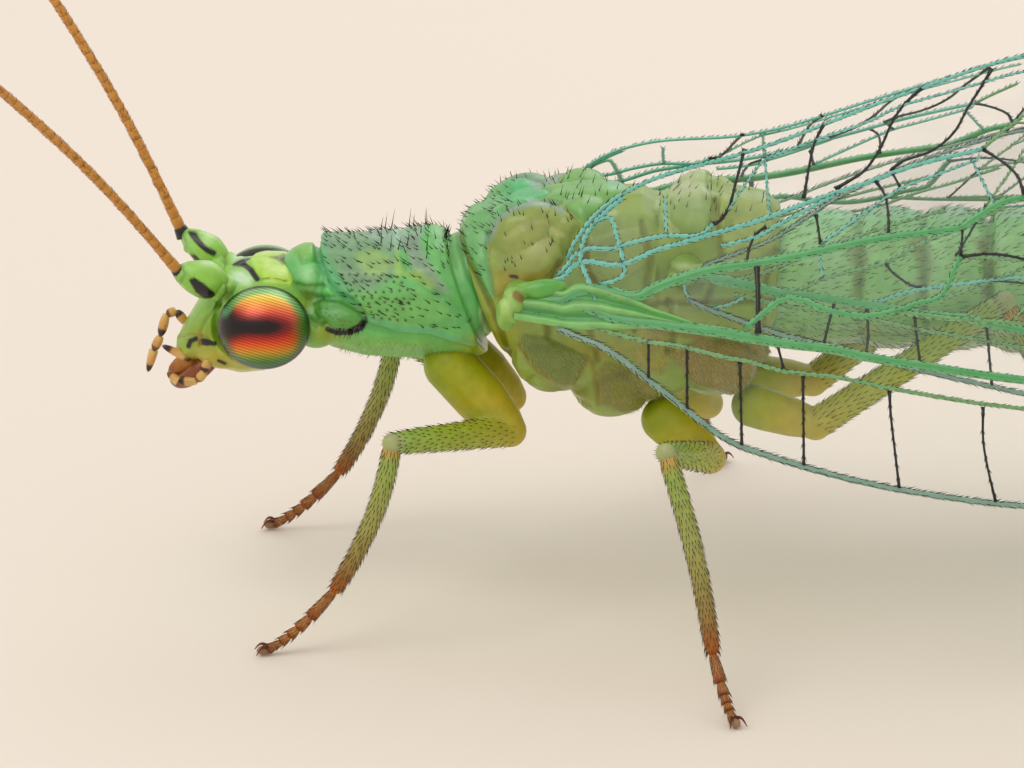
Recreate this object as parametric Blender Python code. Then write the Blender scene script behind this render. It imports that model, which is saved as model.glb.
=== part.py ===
"""Green lacewing, standing at rest with its wings folded like a roof, at life size.

The head faces -Y, +X is the insect's own left and +Z is up. Sizes below are in millimetres, and
every mesh is written in metres. Lengths along the body are counted from the plane through the
centres of the eyes. At the end the whole insect is moved so that the origin lies on the floor,
under the middle of its bounding box.
"""

import math

import bmesh
import bpy
from mathutils import Matrix, Vector

MM = 0.001
GAP = 0.12
FLOOR = 0.0

# Head and eyes
EYE_HEIGHT = 3.06
EYE_SIDE = 0.62
EYE_SEMI_AXES = (0.42, 0.465, 0.42)
EYE_BASE = 0.36
# Each row of the head is a section across the body: distance along it, height of its middle
# over the eyes' centres, half its width, half its height.
HEAD_SECTIONS = (
    (-0.89, -0.43, 0.14, 0.09),
    (-0.81, -0.36, 0.26, 0.18),
    (-0.67, -0.24, 0.35, 0.30),
    (-0.55, -0.16, 0.43, 0.42),
    (-0.42, -0.09, 0.50, 0.54),
    (-0.25, -0.06, 0.57, 0.61),
    (0.00, -0.02, 0.62, 0.62),
    (0.20, 0.07, 0.60, 0.50),
    (0.32, 0.14, 0.42, 0.36),
)
NECK_SPAN = (0.32 + GAP, 0.76)
NECK_RADIUS = 0.38

# Mouthparts, with heights over the eyes' centres. The palps are held differently on the two
# sides: the near one is tucked under the mouth and the far one is raised before the face.
LIP = ((0.0, -0.76, -0.84), (0.0, -0.93, -0.78))
JAW = ((0.06, -0.70, -0.80), (0.19, -0.80, -0.90), (0.06, -0.93, -0.94))
PALPS = {
    "left": (
        ((0.10, -0.70, -0.76), (0.34, -0.58, -0.74), (0.33, -0.72, -0.92), (0.22, -0.86, -0.95)),
        ((0.08, -0.84, -0.76), (0.26, -1.00, -0.66), (0.22, -1.14, -0.52)),
    ),
    "right": (
        (
            (0.10, -0.74, -0.76),
            (0.46, -0.80, -0.42),
            (0.36, -1.00, -0.12),
            (0.30, -1.12, -0.51),
            (0.28, -1.14, -0.76),
        ),
        ((0.10, -0.68, -0.80), (0.26, -0.60, -0.98), (0.24, -0.76, -1.08)),
    ),
}
PALP_RADIUS = 0.10

# Antennae: the first joint of each, then the whip. Both whips rise steeply and bend forward.
SCAPE_BASE = (0.35, -0.44, 0.37)
SCAPE_TIPS = {"left": (0.47, -0.84, 0.53), "right": (0.50, -0.84, 0.62)}
SCAPE_RADIUS = 0.23
WHIP_LENGTH = 12.6
WHIP_RADII = (0.25, 0.17, 0.06)
# Heading (outward angle) and climb of each whip at its base and at its tip, in degrees.
WHIP_COURSE = {
    "left": {"outward": (33, 6.8), "climb": (49, 14)},
    "right": {"outward": (8, 36), "climb": (62, 20)},
}
WHIP_STEPS = 22
WHIP_SPLIT = 9

# Thorax, sections as for the head but with the height of the middle over the floor and a lean
# of the section in degrees, positive where its top leans towards the head.
PROTHORAX_SECTIONS = (
    (0.58, 3.26, 0.57, 0.53, 0),
    (0.66, 3.25, 0.64, 0.58, 2),
    (0.97, 3.20, 0.68, 0.62, 6),
    (1.50, 3.21, 0.72, 0.66, 12),
    (1.90, 3.23, 0.76, 0.67, 18),
    (2.02, 3.24, 0.72, 0.62, 20),
)
MESOTHORAX_SECTIONS = (
    (2.18, 3.26, 0.66, 0.62, 20),
    (2.33, 3.27, 0.78, 0.80, 18),
    (2.75, 3.27, 0.88, 0.98, 12),
    (3.30, 3.24, 0.90, 1.08, 4),
    (3.78, 3.26, 0.84, 1.08, 0),
    (3.92, 3.28, 0.76, 0.98, 0),
)
METATHORAX_SECTIONS = (
    (4.04, 3.30, 0.60, 0.95, 0),
    (4.20, 3.32, 0.64, 1.00, 0),
    (4.60, 3.35, 0.64, 0.98, -2),
    (4.98, 3.37, 0.60, 0.88, -4),
    (5.12, 3.38, 0.52, 0.76, -4),
)
# Rounded lobes of the thorax: side, distance along, height, then three semi-axes.
MESOTHORAX_LOBES = (
    (0.34, 2.62, 3.96, 0.36, 0.42, 0.34),
    (0.41, 3.18, 3.97, 0.36, 0.45, 0.36),
    (0.56, 2.90, 2.76, 0.34, 0.44, 0.40),
    (0.44, 3.46, 2.44, 0.36, 0.42, 0.38),
)
METATHORAX_LOBES = (
    (0.24, 4.40, 4.06, 0.28, 0.34, 0.32),
    (0.42, 4.50, 2.62, 0.32, 0.40, 0.34),
)

# Abdomen
ABDOMEN_START = 5.28
ABDOMEN_LENGTH = 5.86
ABDOMEN_RINGS = 9
ABDOMEN_HALF_WIDTH = 0.60
ABDOMEN_HALF_HEIGHT = 0.75
ABDOMEN_HEIGHTS = ((0.0, 3.38), (0.3, 3.36), (0.7, 3.24), (1.0, 3.16))
ABDOMEN_SWELL = ((0.0, 0.86), (0.12, 0.97), (0.5, 1.0), (0.8, 0.90), (0.93, 0.70), (1.0, 0.34))
RING_WAIST = 0.93
ABDOMEN_NODES = (("abdomen_front", 0, 3), ("abdomen_middle", 3, 6), ("abdomen_rear", 6, 9))

# Legs: each row is the coxa's root, the trochanter, the knee, the ankle and the claws, as side,
# distance along and height. The right legs mirror the left ones.
LEGS = {
    "fore": (
        (0.40, 1.98, 2.44),
        (0.50, 2.46, 1.92),
        (1.60, 1.29, 2.19),
        (1.70, 0.71, 0.66),
        (1.78, 0.04, 0.0),
    ),
    "middle": (
        (0.56, 4.10, 1.98),
        (0.80, 4.46, 1.74),
        (2.34, 4.00, 2.36),
        (3.25, 4.46, 0.59),
        (3.72, 4.66, 0.0),
    ),
    "hind": (
        (0.48, 5.02, 2.14),
        (0.64, 5.52, 2.04),
        (0.97, 7.39, 3.46),
        (2.22, 8.50, 0.60),
        (2.70, 9.58, 0.0),
    ),
}
# For each pair of legs: the radii of the coxa, the room that the femur leaves at the hip, and
# how far the middle of the tibia bows backwards and inwards.
LEG_SIZES = {
    "fore": {"coxa": (0.30, 0.25), "hip_room": 0.51, "bow": (0.10, 0.0)},
    "middle": {"coxa": (0.27, 0.25), "hip_room": 0.32, "bow": (0.05, 0.0)},
    "hind": {"coxa": (0.28, 0.25), "hip_room": 0.34, "bow": (0.10, 0.28)},
}
THIGH_RADII = (0.24, 0.22)
KNEE_ROOM = 0.30
SHIN_RADII = (0.24, 0.21)
FOOT_RADII = (0.20, 0.16)
FOOT_PAD = 0.30

# Forewing: each station is a section across the folded wing. It gives the distance from the
# root, then where the wing's own axis passes (side and height), the slope of the roof in
# degrees, the reach to the costal edge below and to the hind edge above, and the camber.
WING_ROOT_Y = 2.48
FOREWING = (
    (0.00, 1.32, 3.56, 50.0, 0.16, 0.16, 0.00),
    (0.50, 1.38, 3.57, 51.2, 0.28, 0.42, 0.03),
    (0.62, 1.40, 3.57, 51.6, 0.33, 0.68, 0.05),
    (0.80, 1.43, 3.58, 52.2, 0.40, 0.94, 0.08),
    (1.05, 1.44, 3.60, 52.8, 0.57, 1.14, 0.13),
    (1.48, 1.42, 3.62, 53.4, 0.95, 1.33, 0.24),
    (2.28, 1.32, 3.66, 53.6, 1.62, 1.50, 0.40),
    (3.88, 1.46, 3.70, 55.4, 2.05, 2.12, 0.46),
    (5.12, 1.57, 3.74, 57.2, 2.20, 2.52, 0.44),
    (7.50, 1.70, 3.74, 60.0, 2.24, 2.96, 0.38),
    (9.50, 1.72, 3.70, 61.0, 2.15, 3.06, 0.32),
    (11.20, 1.60, 3.67, 62.0, 1.95, 2.84, 0.26),
    (12.80, 1.38, 3.64, 63.5, 1.62, 2.36, 0.20),
    (14.20, 1.10, 3.60, 65.0, 1.18, 1.66, 0.12),
    (15.20, 0.90, 3.58, 66.0, 0.70, 0.96, 0.06),
    (15.75, 0.80, 3.56, 66.0, 0.16, 0.20, 0.00),
)
# Hindwing: distance along the forewing, then its lower and upper edge across the roof. It lies
# inside the forewing by WING_STEP.
WING_STEP = 0.62
HINDWING = (
    (1.66, 0.12, 0.38),
    (2.00, -0.12, 0.46),
    (2.50, -0.33, 0.62),
    (3.30, -0.54, 1.15),
    (4.30, -0.80, 1.60),
    (5.60, -1.08, 1.92),
    (7.50, -1.36, 2.12),
    (9.50, -1.50, 2.12),
    (11.30, -1.38, 1.86),
    (12.80, -1.06, 1.32),
    (14.00, -0.62, 0.70),
    (14.70, -0.14, 0.18),
)
MEMBRANE = 0.40
TIP_THICKNESS = 0.24
EDGE_THICKNESS = 0.22
TAPER_FROM = 0.5
VEIN_RISE = 0.05
VEIN_HALF_WIDTH = 0.07
# Main veins of each wing, as shares of the way from the costal edge to the hind edge at several
# distances along the wing.
FOREWING_VEINS = {
    "subcosta": (
        (0, 0.30), (1, 0.165), (2, 0.26), (3, 0.255), (5, 0.215), (9.5, 0.12), (12.6, 0.09), (15.7, 0.2),
    ),
    "radius": (
        (0, 0.42), (1, 0.28), (2, 0.34), (3, 0.33), (5, 0.275), (9.5, 0.19), (12.6, 0.17), (15.7, 0.4),
    ),
    "media": (
        (0, 0.55), (1, 0.39), (1.5, 0.46), (2.2, 0.57), (4.5, 0.62), (7, 0.55), (12.6, 0.55), (15.7, 0.6),
    ),
    "cubitus": (
        (0, 0.75), (1, 0.67), (1.5, 0.63), (2, 0.67), (3, 0.75), (5, 0.80), (12.6, 0.80), (15.7, 0.82),
    ),
}
HINDWING_VEINS = {
    "subcosta": ((1.7, 0.28), (4, 0.14), (9, 0.09), (12.6, 0.10), (14.7, 0.22)),
    "radius": ((1.7, 0.50), (4, 0.27), (9, 0.19), (12.6, 0.21), (14.7, 0.45)),
    "cubitus": ((1.7, 0.74), (4, 0.60), (9, 0.62), (12.6, 0.68), (14.7, 0.74)),
}
# Dark crossveins, by their distance along the wing. Those at the costal edge run straight
# across. Those at the hind edge are given as pairs of ends, on the last long vein and on the
# edge. Each row goes on at an even pace past its last place given.
COSTAL_STARTS = (1.67, 2.21, 2.83, 3.68, 4.61)
COSTAL_PACE = 0.98
COSTAL_LAST = 12.0
HIND_STARTS = ((2.02, 2.33), (2.92, 3.12), (3.48, 4.02), (4.26, 4.74))
HIND_PACE = 1.0
HIND_LAST = 10.4
HINDWING_STARTS = (3.4, 9.4)
HINDWING_PACE = 1.0
CROSSVEIN_WIDTH = 0.13
CROSSVEIN_RISE = 0.07
CROSSVEIN_DEPTH = 0.10
EDGE_ROOM = 0.07
LEAST_STEP = 0.02
CROWDING = 0.06
WING_STATIONS = 18

MATERIALS = {
    "body_green": ((0.20, 0.48, 0.16), 0.45),
    "neck_green": ((0.42, 0.62, 0.12), 0.45),
    "belly_green": ((0.38, 0.50, 0.20), 0.5),
    "leg_green": ((0.40, 0.42, 0.10), 0.5),
    "foot_brown": ((0.40, 0.20, 0.06), 0.5),
    "antenna_brown": ((0.45, 0.22, 0.05), 0.5),
    "mouth_brown": ((0.42, 0.20, 0.05), 0.45),
    "eye_gold": ((0.70, 0.28, 0.06), 0.2),
    "wing_green": ((0.36, 0.62, 0.52), 0.25),
}


def smooth_value(table, at):
    """Reads a table of (place, value) rows with a curve that never overshoots its rows."""
    places = [row[0] for row in table]
    values = [row[1] for row in table]
    if at <= places[0]:
        return values[0]
    if at >= places[-1]:
        return values[-1]
    steps = [b - a for a, b in zip(places, places[1:])]
    rises = [(b - a) / step for a, b, step in zip(values, values[1:], steps)]
    slopes = [rises[0]]
    for before, after in zip(rises, rises[1:]):
        level = before * after <= 0
        slopes.append(0.0 if level else 2 * before * after / (before + after))
    slopes.append(rises[-1])
    k = next(i for i in range(len(steps)) if at <= places[i + 1])
    u = (at - places[k]) / steps[k]
    ease = u * u * (3 - 2 * u)
    lead = u * (1 - u) ** 2 * steps[k] * slopes[k]
    trail = u * u * (u - 1) * steps[k] * slopes[k + 1]
    return values[k] + (values[k + 1] - values[k]) * ease + lead + trail


def column(table, number):
    """The rows of a wider table as (place, value) pairs, for one of its columns."""
    return tuple((row[0], row[number]) for row in table)


def make_material(name):
    """A plain finish with the colour and roughness of one kind of surface."""
    colour, roughness = MATERIALS[name]
    material = bpy.data.materials.get(name) or bpy.data.materials.new(name)
    material.use_nodes = True
    shader = material.node_tree.nodes["Principled BSDF"]
    shader.inputs["Base Color"].default_value = (*colour, 1.0)
    shader.inputs["Roughness"].default_value = roughness
    shader.inputs["Metallic"].default_value = 0.0
    return material


def add_object(name, data):
    """Links a new object to the insect's collection."""
    obj = bpy.data.objects.new(name, data)
    INSECT.objects.link(obj)
    return obj


def mesh_object(name, points, faces):
    """A mesh object from points in millimetres."""
    mesh = bpy.data.meshes.new(name)
    mesh.from_pydata([Vector(p) * MM for p in points], [], faces)
    mesh.validate()
    return add_object(name, mesh)


def finish(obj, material, sharp_degrees=40):
    """Gives an object its material and smooth shading with crisp edges."""
    obj.data.materials.clear()
    obj.data.materials.append(make_material(material))
    obj.data.shade_smooth()
    obj.data.set_sharp_from_angle(angle=math.radians(sharp_degrees))
    return obj


def shell_loft(name, sections, sides=16):
    """A closed body through upright oval sections, each given by its distance along, height,
    half width, half height and lean."""
    points, faces = [], []
    for along, height, half_width, half_height, lean in sections:
        slant = math.tan(math.radians(lean))
        for k in range(sides):
            angle = 2 * math.pi * k / sides
            rise = half_height * math.sin(angle)
            points.append((half_width * math.cos(angle), along - slant * rise, height + rise))
    for row in range(len(sections) - 1):
        for k in range(sides):
            a = row * sides + k
            b = row * sides + (k + 1) % sides
            faces.append((a, b, b + sides, a + sides))
    last = (len(sections) - 1) * sides
    faces.append(tuple(reversed(range(sides))))
    faces.append(tuple(range(last, last + sides)))
    return facing_out(mesh_object(name, points, faces))


def facing_out(obj):
    """Turns every face of a closed mesh outwards."""
    shell = bmesh.new()
    shell.from_mesh(obj.data)
    bmesh.ops.recalc_face_normals(shell, faces=shell.faces)
    if shell.calc_volume(signed=True) < 0:
        bmesh.ops.reverse_faces(shell, faces=shell.faces)
    shell.to_mesh(obj.data)
    shell.free()
    return obj


def ellipsoid(name, centre, semi_axes, segments=14, rings=8):
    """A closed egg shape with its own three semi-axes."""
    bpy.ops.mesh.primitive_uv_sphere_add(segments=segments, ring_count=rings, radius=1.0)
    obj = bpy.context.object
    obj.name = name
    stretch = Matrix.Diagonal((*[axis * MM for axis in semi_axes], 1.0))
    obj.data.transform(Matrix.Translation(Vector(centre) * MM) @ stretch)
    for collection in list(obj.users_collection):
        collection.objects.unlink(obj)
    INSECT.objects.link(obj)
    return obj


def tube(name, points, radii, resolution=2):
    """A limb as a bent rod whose thickness changes from point to point, as one closed mesh."""
    curve = bpy.data.curves.new(name, "CURVE")
    curve.dimensions = "3D"
    curve.bevel_depth = MM
    curve.bevel_resolution = resolution
    curve.use_fill_caps = True
    spline = curve.splines.new("POLY")
    spline.points.add(len(points) - 1)
    for knot, place, radius in zip(spline.points, points, radii):
        knot.co = (*(Vector(place) * MM), 1.0)
        knot.radius = radius
    guide = add_object(name, curve)
    bpy.context.view_layer.update()
    graph = bpy.context.evaluated_depsgraph_get()
    mesh = bpy.data.meshes.new_from_object(guide.evaluated_get(graph))
    bpy.data.objects.remove(guide)
    bpy.data.curves.remove(curve)
    shell = bmesh.new()
    shell.from_mesh(mesh)
    bmesh.ops.remove_doubles(shell, verts=shell.verts, dist=1e-7)
    shell.to_mesh(mesh)
    shell.free()
    mesh.name = name
    return facing_out(add_object(name, mesh))


def largest_shell(obj):
    """Keeps only the closed surface that has the most faces."""
    shell = bmesh.new()
    shell.from_mesh(obj.data)
    left = set(shell.verts)
    shells = []
    while left:
        found, edge = set(), [left.pop()]
        while edge:
            vert = edge.pop()
            found.add(vert)
            near = {e.other_vert(vert) for e in vert.link_edges} - found
            edge.extend(near)
            left -= near
            found |= near
        shells.append(found)
    keep = max(shells, key=len)
    spare = [v for v in shell.verts if v not in keep]
    bmesh.ops.delete(shell, geom=spare, context="VERTS")
    shell.to_mesh(obj.data)
    shell.free()
    return obj


def combine(base, others, operation, solver="EXACT"):
    """Joins the other pieces to the base, or cuts them out of it, and removes them."""
    group = bpy.data.collections.new(base.name + "_tools")
    bpy.context.scene.collection.children.link(group)
    for piece in others:
        for collection in list(piece.users_collection):
            collection.objects.unlink(piece)
        group.objects.link(piece)
    modifier = base.modifiers.new("combine", "BOOLEAN")
    modifier.operation = operation
    modifier.operand_type = "COLLECTION"
    modifier.collection = group
    modifier.solver = solver
    bpy.context.view_layer.update()
    graph = bpy.context.evaluated_depsgraph_get()
    mesh = bpy.data.meshes.new_from_object(base.evaluated_get(graph))
    base.modifiers.clear()
    base.data = mesh
    for piece in list(group.objects):
        bpy.data.objects.remove(piece)
    bpy.data.collections.remove(group)
    return largest_shell(base)


def mirrored(point, side):
    """A left-hand point, or its mirror image for the right-hand side."""
    return Vector((point[0] * (1 if side == "left" else -1), point[1], point[2]))


def beside_eyes(point):
    """A point given by its height over the eyes' centres, as a height over the floor."""
    return (point[0], point[1], point[2] + EYE_HEIGHT)


def build_head():
    """The head capsule, with a socket for each eye."""
    rows = [(along, EYE_HEIGHT + rise, w, h, 0) for along, rise, w, h in HEAD_SECTIONS]
    head = shell_loft("head", rows, sides=20)
    sockets = []
    for side in ("left", "right"):
        centre = mirrored((EYE_SIDE, 0.0, EYE_HEIGHT), side)
        axes = [axis + GAP for axis in EYE_SEMI_AXES]
        socket = ellipsoid("socket_" + side, centre, axes, 18, 12)
        sockets.append(cut_beyond(socket, side, EYE_BASE - GAP))
    combine(head, sockets, "DIFFERENCE")
    return finish(head, "body_green")


def cut_beyond(obj, side, distance):
    """Keeps what lies further out than a distance from the middle plane, with a flat cap."""
    sign = 1 if side == "left" else -1
    shell = bmesh.new()
    shell.from_mesh(obj.data)
    cut = bmesh.ops.bisect_plane(
        shell,
        geom=shell.verts[:] + shell.edges[:] + shell.faces[:],
        plane_co=(sign * distance * MM, 0, 0),
        plane_no=(-sign, 0, 0),
        clear_outer=True,
        dist=1e-8,
    )
    rim = [e for e in cut["geom_cut"] if isinstance(e, bmesh.types.BMEdge)]
    bmesh.ops.contextual_create(shell, geom=rim)
    bmesh.ops.recalc_face_normals(shell, faces=shell.faces)
    shell.to_mesh(obj.data)
    shell.free()
    return obj


def build_eye(side):
    """One domed eye with a flat base deep in its socket."""
    centre = mirrored((EYE_SIDE, 0.0, EYE_HEIGHT), side)
    eye = ellipsoid("eye_" + side, centre, EYE_SEMI_AXES, 20, 14)
    return finish(cut_beyond(eye, side, EYE_BASE), "eye_gold")


def build_neck():
    """The soft neck between the head and the first segment of the thorax."""
    start, end = NECK_SPAN
    rows = [
        (start, EYE_HEIGHT + 0.14, NECK_RADIUS * 0.95, NECK_RADIUS * 0.95, 0),
        ((start + end) / 2, EYE_HEIGHT + 0.15, NECK_RADIUS, NECK_RADIUS, 0),
        (end, EYE_HEIGHT + 0.16, NECK_RADIUS * 0.95, NECK_RADIUS * 0.95, 0),
    ]
    return finish(shell_loft("neck", rows, sides=14), "neck_green")


def build_mouth():
    """The upper lip with a jaw and two jointed palps on each side, fused at their roots."""
    lip = tube("mouthparts", [beside_eyes(p) for p in LIP], [0.20, 0.12])
    pieces = []
    for side in ("left", "right"):
        jaw = [mirrored(beside_eyes(p), side) for p in JAW]
        pieces.append(tube("jaw_" + side, jaw, [0.12, 0.12, 0.06]))
        for number, joints in enumerate(PALPS[side]):
            line = [mirrored(beside_eyes(p), side) for p in joints]
            radii = [PALP_RADIUS] * (len(line) - 1) + [PALP_RADIUS / 2]
            pieces.append(tube(f"palp_{number}_{side}", line, radii, resolution=1))
    return finish(combine(lip, pieces, "UNION"), "mouth_brown")


def whip_line(side):
    """Points along one antenna's whip, which bends steadily from its first course to its last."""
    course = WHIP_COURSE[side]
    place = mirrored(beside_eyes(SCAPE_TIPS[side]), side)
    step = WHIP_LENGTH / WHIP_STEPS
    line = []
    for k in range(WHIP_STEPS + 1):
        share = k / WHIP_STEPS
        outward, climb = (
            math.radians(first + (last - first) * share)
            for first, last in (course["outward"], course["climb"])
        )
        heading = mirrored((math.sin(outward), -math.cos(outward), 0.0), side) * math.cos(climb)
        heading.z = math.sin(climb)
        if k == 0:
            place = place + heading * (GAP + SCAPE_RADIUS * 0.4)
        line.append(place.copy())
        place = place + heading * step
    return line


def build_antenna(side):
    """An antenna: its thick first joint, and a whip in two lengths."""
    base, tip = (mirrored(beside_eyes(p), side) for p in (SCAPE_BASE, SCAPE_TIPS[side]))
    axis = (tip - base).normalized()
    points = [base + axis * GAP, base + axis * 0.22, tip - axis * 0.1, tip]
    radii = [SCAPE_RADIUS * 0.8, SCAPE_RADIUS, SCAPE_RADIUS, SCAPE_RADIUS * 0.8]
    finish(tube("antenna_scape_" + side, points, radii, resolution=2), "body_green")
    line = whip_line(side)
    table = ((0.0, WHIP_RADII[0]), (0.5, WHIP_RADII[1]), (1.0, WHIP_RADII[2]))
    radii = [smooth_value(table, k / WHIP_STEPS) for k in range(WHIP_STEPS + 1)]
    split = WHIP_SPLIT
    step_back = (line[split + 1] - line[split]).normalized() * GAP
    lengths = (
        ("base", line[: split + 1], radii[: split + 1]),
        ("tip", [line[split] + step_back, *line[split + 1:]], radii[split:]),
    )
    for kind, points, sizes in lengths:
        finish(tube(f"antenna_{kind}_{side}", points, sizes, resolution=1), "antenna_brown")


def build_prothorax():
    """The first segment of the thorax, a long saddle with a pit where the neck enters."""
    prothorax = shell_loft("prothorax", PROTHORAX_SECTIONS, sides=18)
    start, end = NECK_SPAN
    room = NECK_RADIUS + GAP
    pit = [
        (start, EYE_HEIGHT + 0.15, room, room, 0),
        (end + GAP, EYE_HEIGHT + 0.16, room, room, 0),
    ]
    combine(prothorax, [shell_loft("neck_pit", pit, sides=14)], "DIFFERENCE")
    return finish(prothorax, "body_green")


def build_segment(name, sections, lobes):
    """A segment of the thorax: a barrel with rounded lobes on both sides, fused into one."""
    barrel = shell_loft(name, sections, sides=18)
    swellings = []
    for number, (out, along, height, wide, long, high) in enumerate(lobes):
        for side in ("left", "right"):
            centre = mirrored((out, along, height), side)
            swellings.append(ellipsoid(f"lobe_{number}_{side}", centre, (wide, long, high), 12, 7))
    combine(barrel, swellings, "UNION")
    return finish(barrel, "belly_green")


def build_abdomen():
    """The abdomen in three lengths, each of three rings that are narrower at their joints."""
    per_ring = 3
    steps = ABDOMEN_RINGS * per_ring
    for name, first, last in ABDOMEN_NODES:
        rows = []
        for k in range(first * per_ring, last * per_ring + 1):
            share = k / steps
            swell = smooth_value(ABDOMEN_SWELL, share)
            waist = RING_WAIST if k % per_ring == 0 else 1.0
            along = ABDOMEN_START + ABDOMEN_LENGTH * share
            if k == first * per_ring and first > 0:
                along += GAP / 2
            if k == last * per_ring and last < ABDOMEN_RINGS:
                along -= GAP / 2
            size = swell * waist
            height = smooth_value(ABDOMEN_HEIGHTS, share)
            rows.append((along, height, ABDOMEN_HALF_WIDTH * size, ABDOMEN_HALF_HEIGHT * size, 0))
        finish(shell_loft(name, rows, sides=14), "belly_green")


def limb(name, start, end, radii, material, bow=(0.0, 0.0), steps=3):
    """A rod from one joint to the next, clear of both by half a gap. It may bow backwards and
    inwards, towards the insect's middle plane."""
    axis = (end - start).normalized()
    first, last = start + axis * GAP / 2, end - axis * GAP / 2
    backwards, inwards = bow
    sag = Vector((-inwards * math.copysign(1, start.x), backwards, 0))
    points, sizes = [], []
    for k in range(steps + 1):
        share = k / steps
        points.append(first.lerp(last, share) + sag * 4 * share * (1 - share))
        sizes.append(radii[0] + (radii[1] - radii[0]) * share)
    return finish(tube(name, points, sizes, resolution=1), material)


def build_foot(name, ankle, claws):
    """A foot that slopes down from the ankle and ends in a short pad, flat where it stands."""
    level = Vector((claws.x, claws.y, FLOOR + FOOT_RADII[1] * 0.7))
    forward = Vector((claws.x - ankle.x, claws.y - ankle.y, 0)).normalized()
    heel = level - forward * FOOT_PAD
    first = ankle + (heel - ankle).normalized() * (GAP / 2 + FOOT_RADII[0] * 0.6)
    points = [first, ankle.lerp(heel, 0.7), heel, level]
    radii = [FOOT_RADII[0], FOOT_RADII[0], FOOT_RADII[1], FOOT_RADII[1] * 0.8]
    foot = tube(name, points, radii, resolution=1)
    shell = bmesh.new()
    shell.from_mesh(foot.data)
    cut = bmesh.ops.bisect_plane(
        shell,
        geom=shell.verts[:] + shell.edges[:] + shell.faces[:],
        plane_co=(0, 0, FLOOR),
        plane_no=(0, 0, -1),
        clear_outer=True,
        dist=1e-8,
    )
    rim = [e for e in cut["geom_cut"] if isinstance(e, bmesh.types.BMEdge)]
    bmesh.ops.contextual_create(shell, geom=rim)
    bmesh.ops.recalc_face_normals(shell, faces=shell.faces)
    shell.to_mesh(foot.data)
    shell.free()
    return finish(foot, "foot_brown")


def build_leg(which, side):
    """One leg: coxa, femur, tibia and tarsus, each its own piece."""
    coxa, hip, knee, ankle, claws = (mirrored(p, side) for p in LEGS[which])
    sizes = LEG_SIZES[which]
    tag = f"{which}_{side}"
    limb("coxa_" + tag, coxa, hip, sizes["coxa"], "leg_green", steps=2)
    start = hip + (knee - hip).normalized() * sizes["hip_room"]
    limb("femur_" + tag, start, knee, THIGH_RADII, "leg_green", steps=2)
    start = knee + (ankle - knee).normalized() * KNEE_ROOM
    limb("tibia_" + tag, start, ankle, SHIN_RADII, "leg_green", sizes["bow"])
    build_foot("tarsus_" + tag, ankle, claws)


def forewing_point(along, across):
    """A point midway through the left forewing, and the outward direction there."""
    axis_x, axis_z, roof, costal, hind, camber = (
        smooth_value(column(FOREWING, n), along) for n in range(1, 7)
    )
    slope = math.radians(roof)
    share = (across + costal) / (costal + hind)
    bow = camber * 4 * share * (1 - share)
    up_roof = Vector((-math.cos(slope), 0, math.sin(slope)))
    outward = Vector((math.sin(slope), 0, math.cos(slope)))
    axis = Vector((axis_x, WING_ROOT_Y + along, axis_z))
    return axis + up_roof * across + outward * bow, outward


def forewing_edges(along):
    """The lower (costal) and upper (hind) edge of the forewing at a distance from its root."""
    costal = smooth_value(column(FOREWING, 4), along)
    hind = smooth_value(column(FOREWING, 5), along)
    return -costal, hind


def hindwing_point(along, across):
    """A point midway through the left hindwing, which lies inside the forewing."""
    point, outward = forewing_point(along, across)
    return point - outward * WING_STEP, outward


def hindwing_edges(along):
    """The lower and upper edge of the hindwing at a distance along the forewing."""
    lower = smooth_value(column(HINDWING, 1), along)
    upper = smooth_value(column(HINDWING, 2), along)
    return lower, upper


def wing_rows(veins, along, width):
    """The rows across a wing at one station, as (share across, extra thickness) from the costal
    edge to the hind edge. Each vein is a crest between two feet."""
    foot = VEIN_HALF_WIDTH / width
    rows = [(0.0, 0.0)]
    for table in veins.values():
        crest = smooth_value(table, along)
        rows.extend(((crest - foot, 0.0), (crest, VEIN_RISE), (crest + foot, 0.0)))
    rows.append((1.0, 0.0))
    for k in range(1, len(rows)):
        rows[k] = (max(rows[k][0], rows[k - 1][0] + LEAST_STEP), rows[k][1])
    end = rows[-1][0]
    return [(place / end, rise) for place, rise in rows]


def wing_plate(name, point, edges, veins, first, last):
    """The membrane as a thin plate with its long veins raised in its own two faces. Both faces
    are split into triangles alike."""
    outer, inner = [], []
    for k in range(WING_STATIONS):
        share = k / (WING_STATIONS - 1)
        along = first + (last - first) * (share - CROWDING * math.sin(2 * math.pi * share))
        low, high = edges(along)
        taper = max(0.0, (share - TAPER_FROM) / (1 - TAPER_FROM))
        body = MEMBRANE + (TIP_THICKNESS - MEMBRANE) * taper
        for place, rise in wing_rows(veins, along, max(high - low, 0.5)):
            middle, outward = point(along, low + (high - low) * place)
            at_edge = place in (0.0, 1.0)
            half = (EDGE_THICKNESS if at_edge else body) / 2 + rise
            outer.append(middle + outward * half)
            inner.append(middle - outward * half)
    width = len(outer) // WING_STATIONS
    count = len(outer)
    faces = []
    for k in range(WING_STATIONS - 1):
        for j in range(width - 1):
            a = k * width + j
            b, c, d = a + 1, a + width + 1, a + width
            faces.extend(((a, b, c), (a, c, d)))
            faces.extend(((count + a, count + c, count + b), (count + a, count + d, count + c)))
    rim = list(range(width))
    rim += [k * width + width - 1 for k in range(1, WING_STATIONS)]
    rim += [(WING_STATIONS - 1) * width + j for j in range(width - 2, -1, -1)]
    rim += [k * width for k in range(WING_STATIONS - 2, 0, -1)]
    for a, b in zip(rim, rim[1:] + rim[:1]):
        faces.append((a, count + a, count + b, b))
    return facing_out(mesh_object(name, outer + inner, faces))


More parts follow.
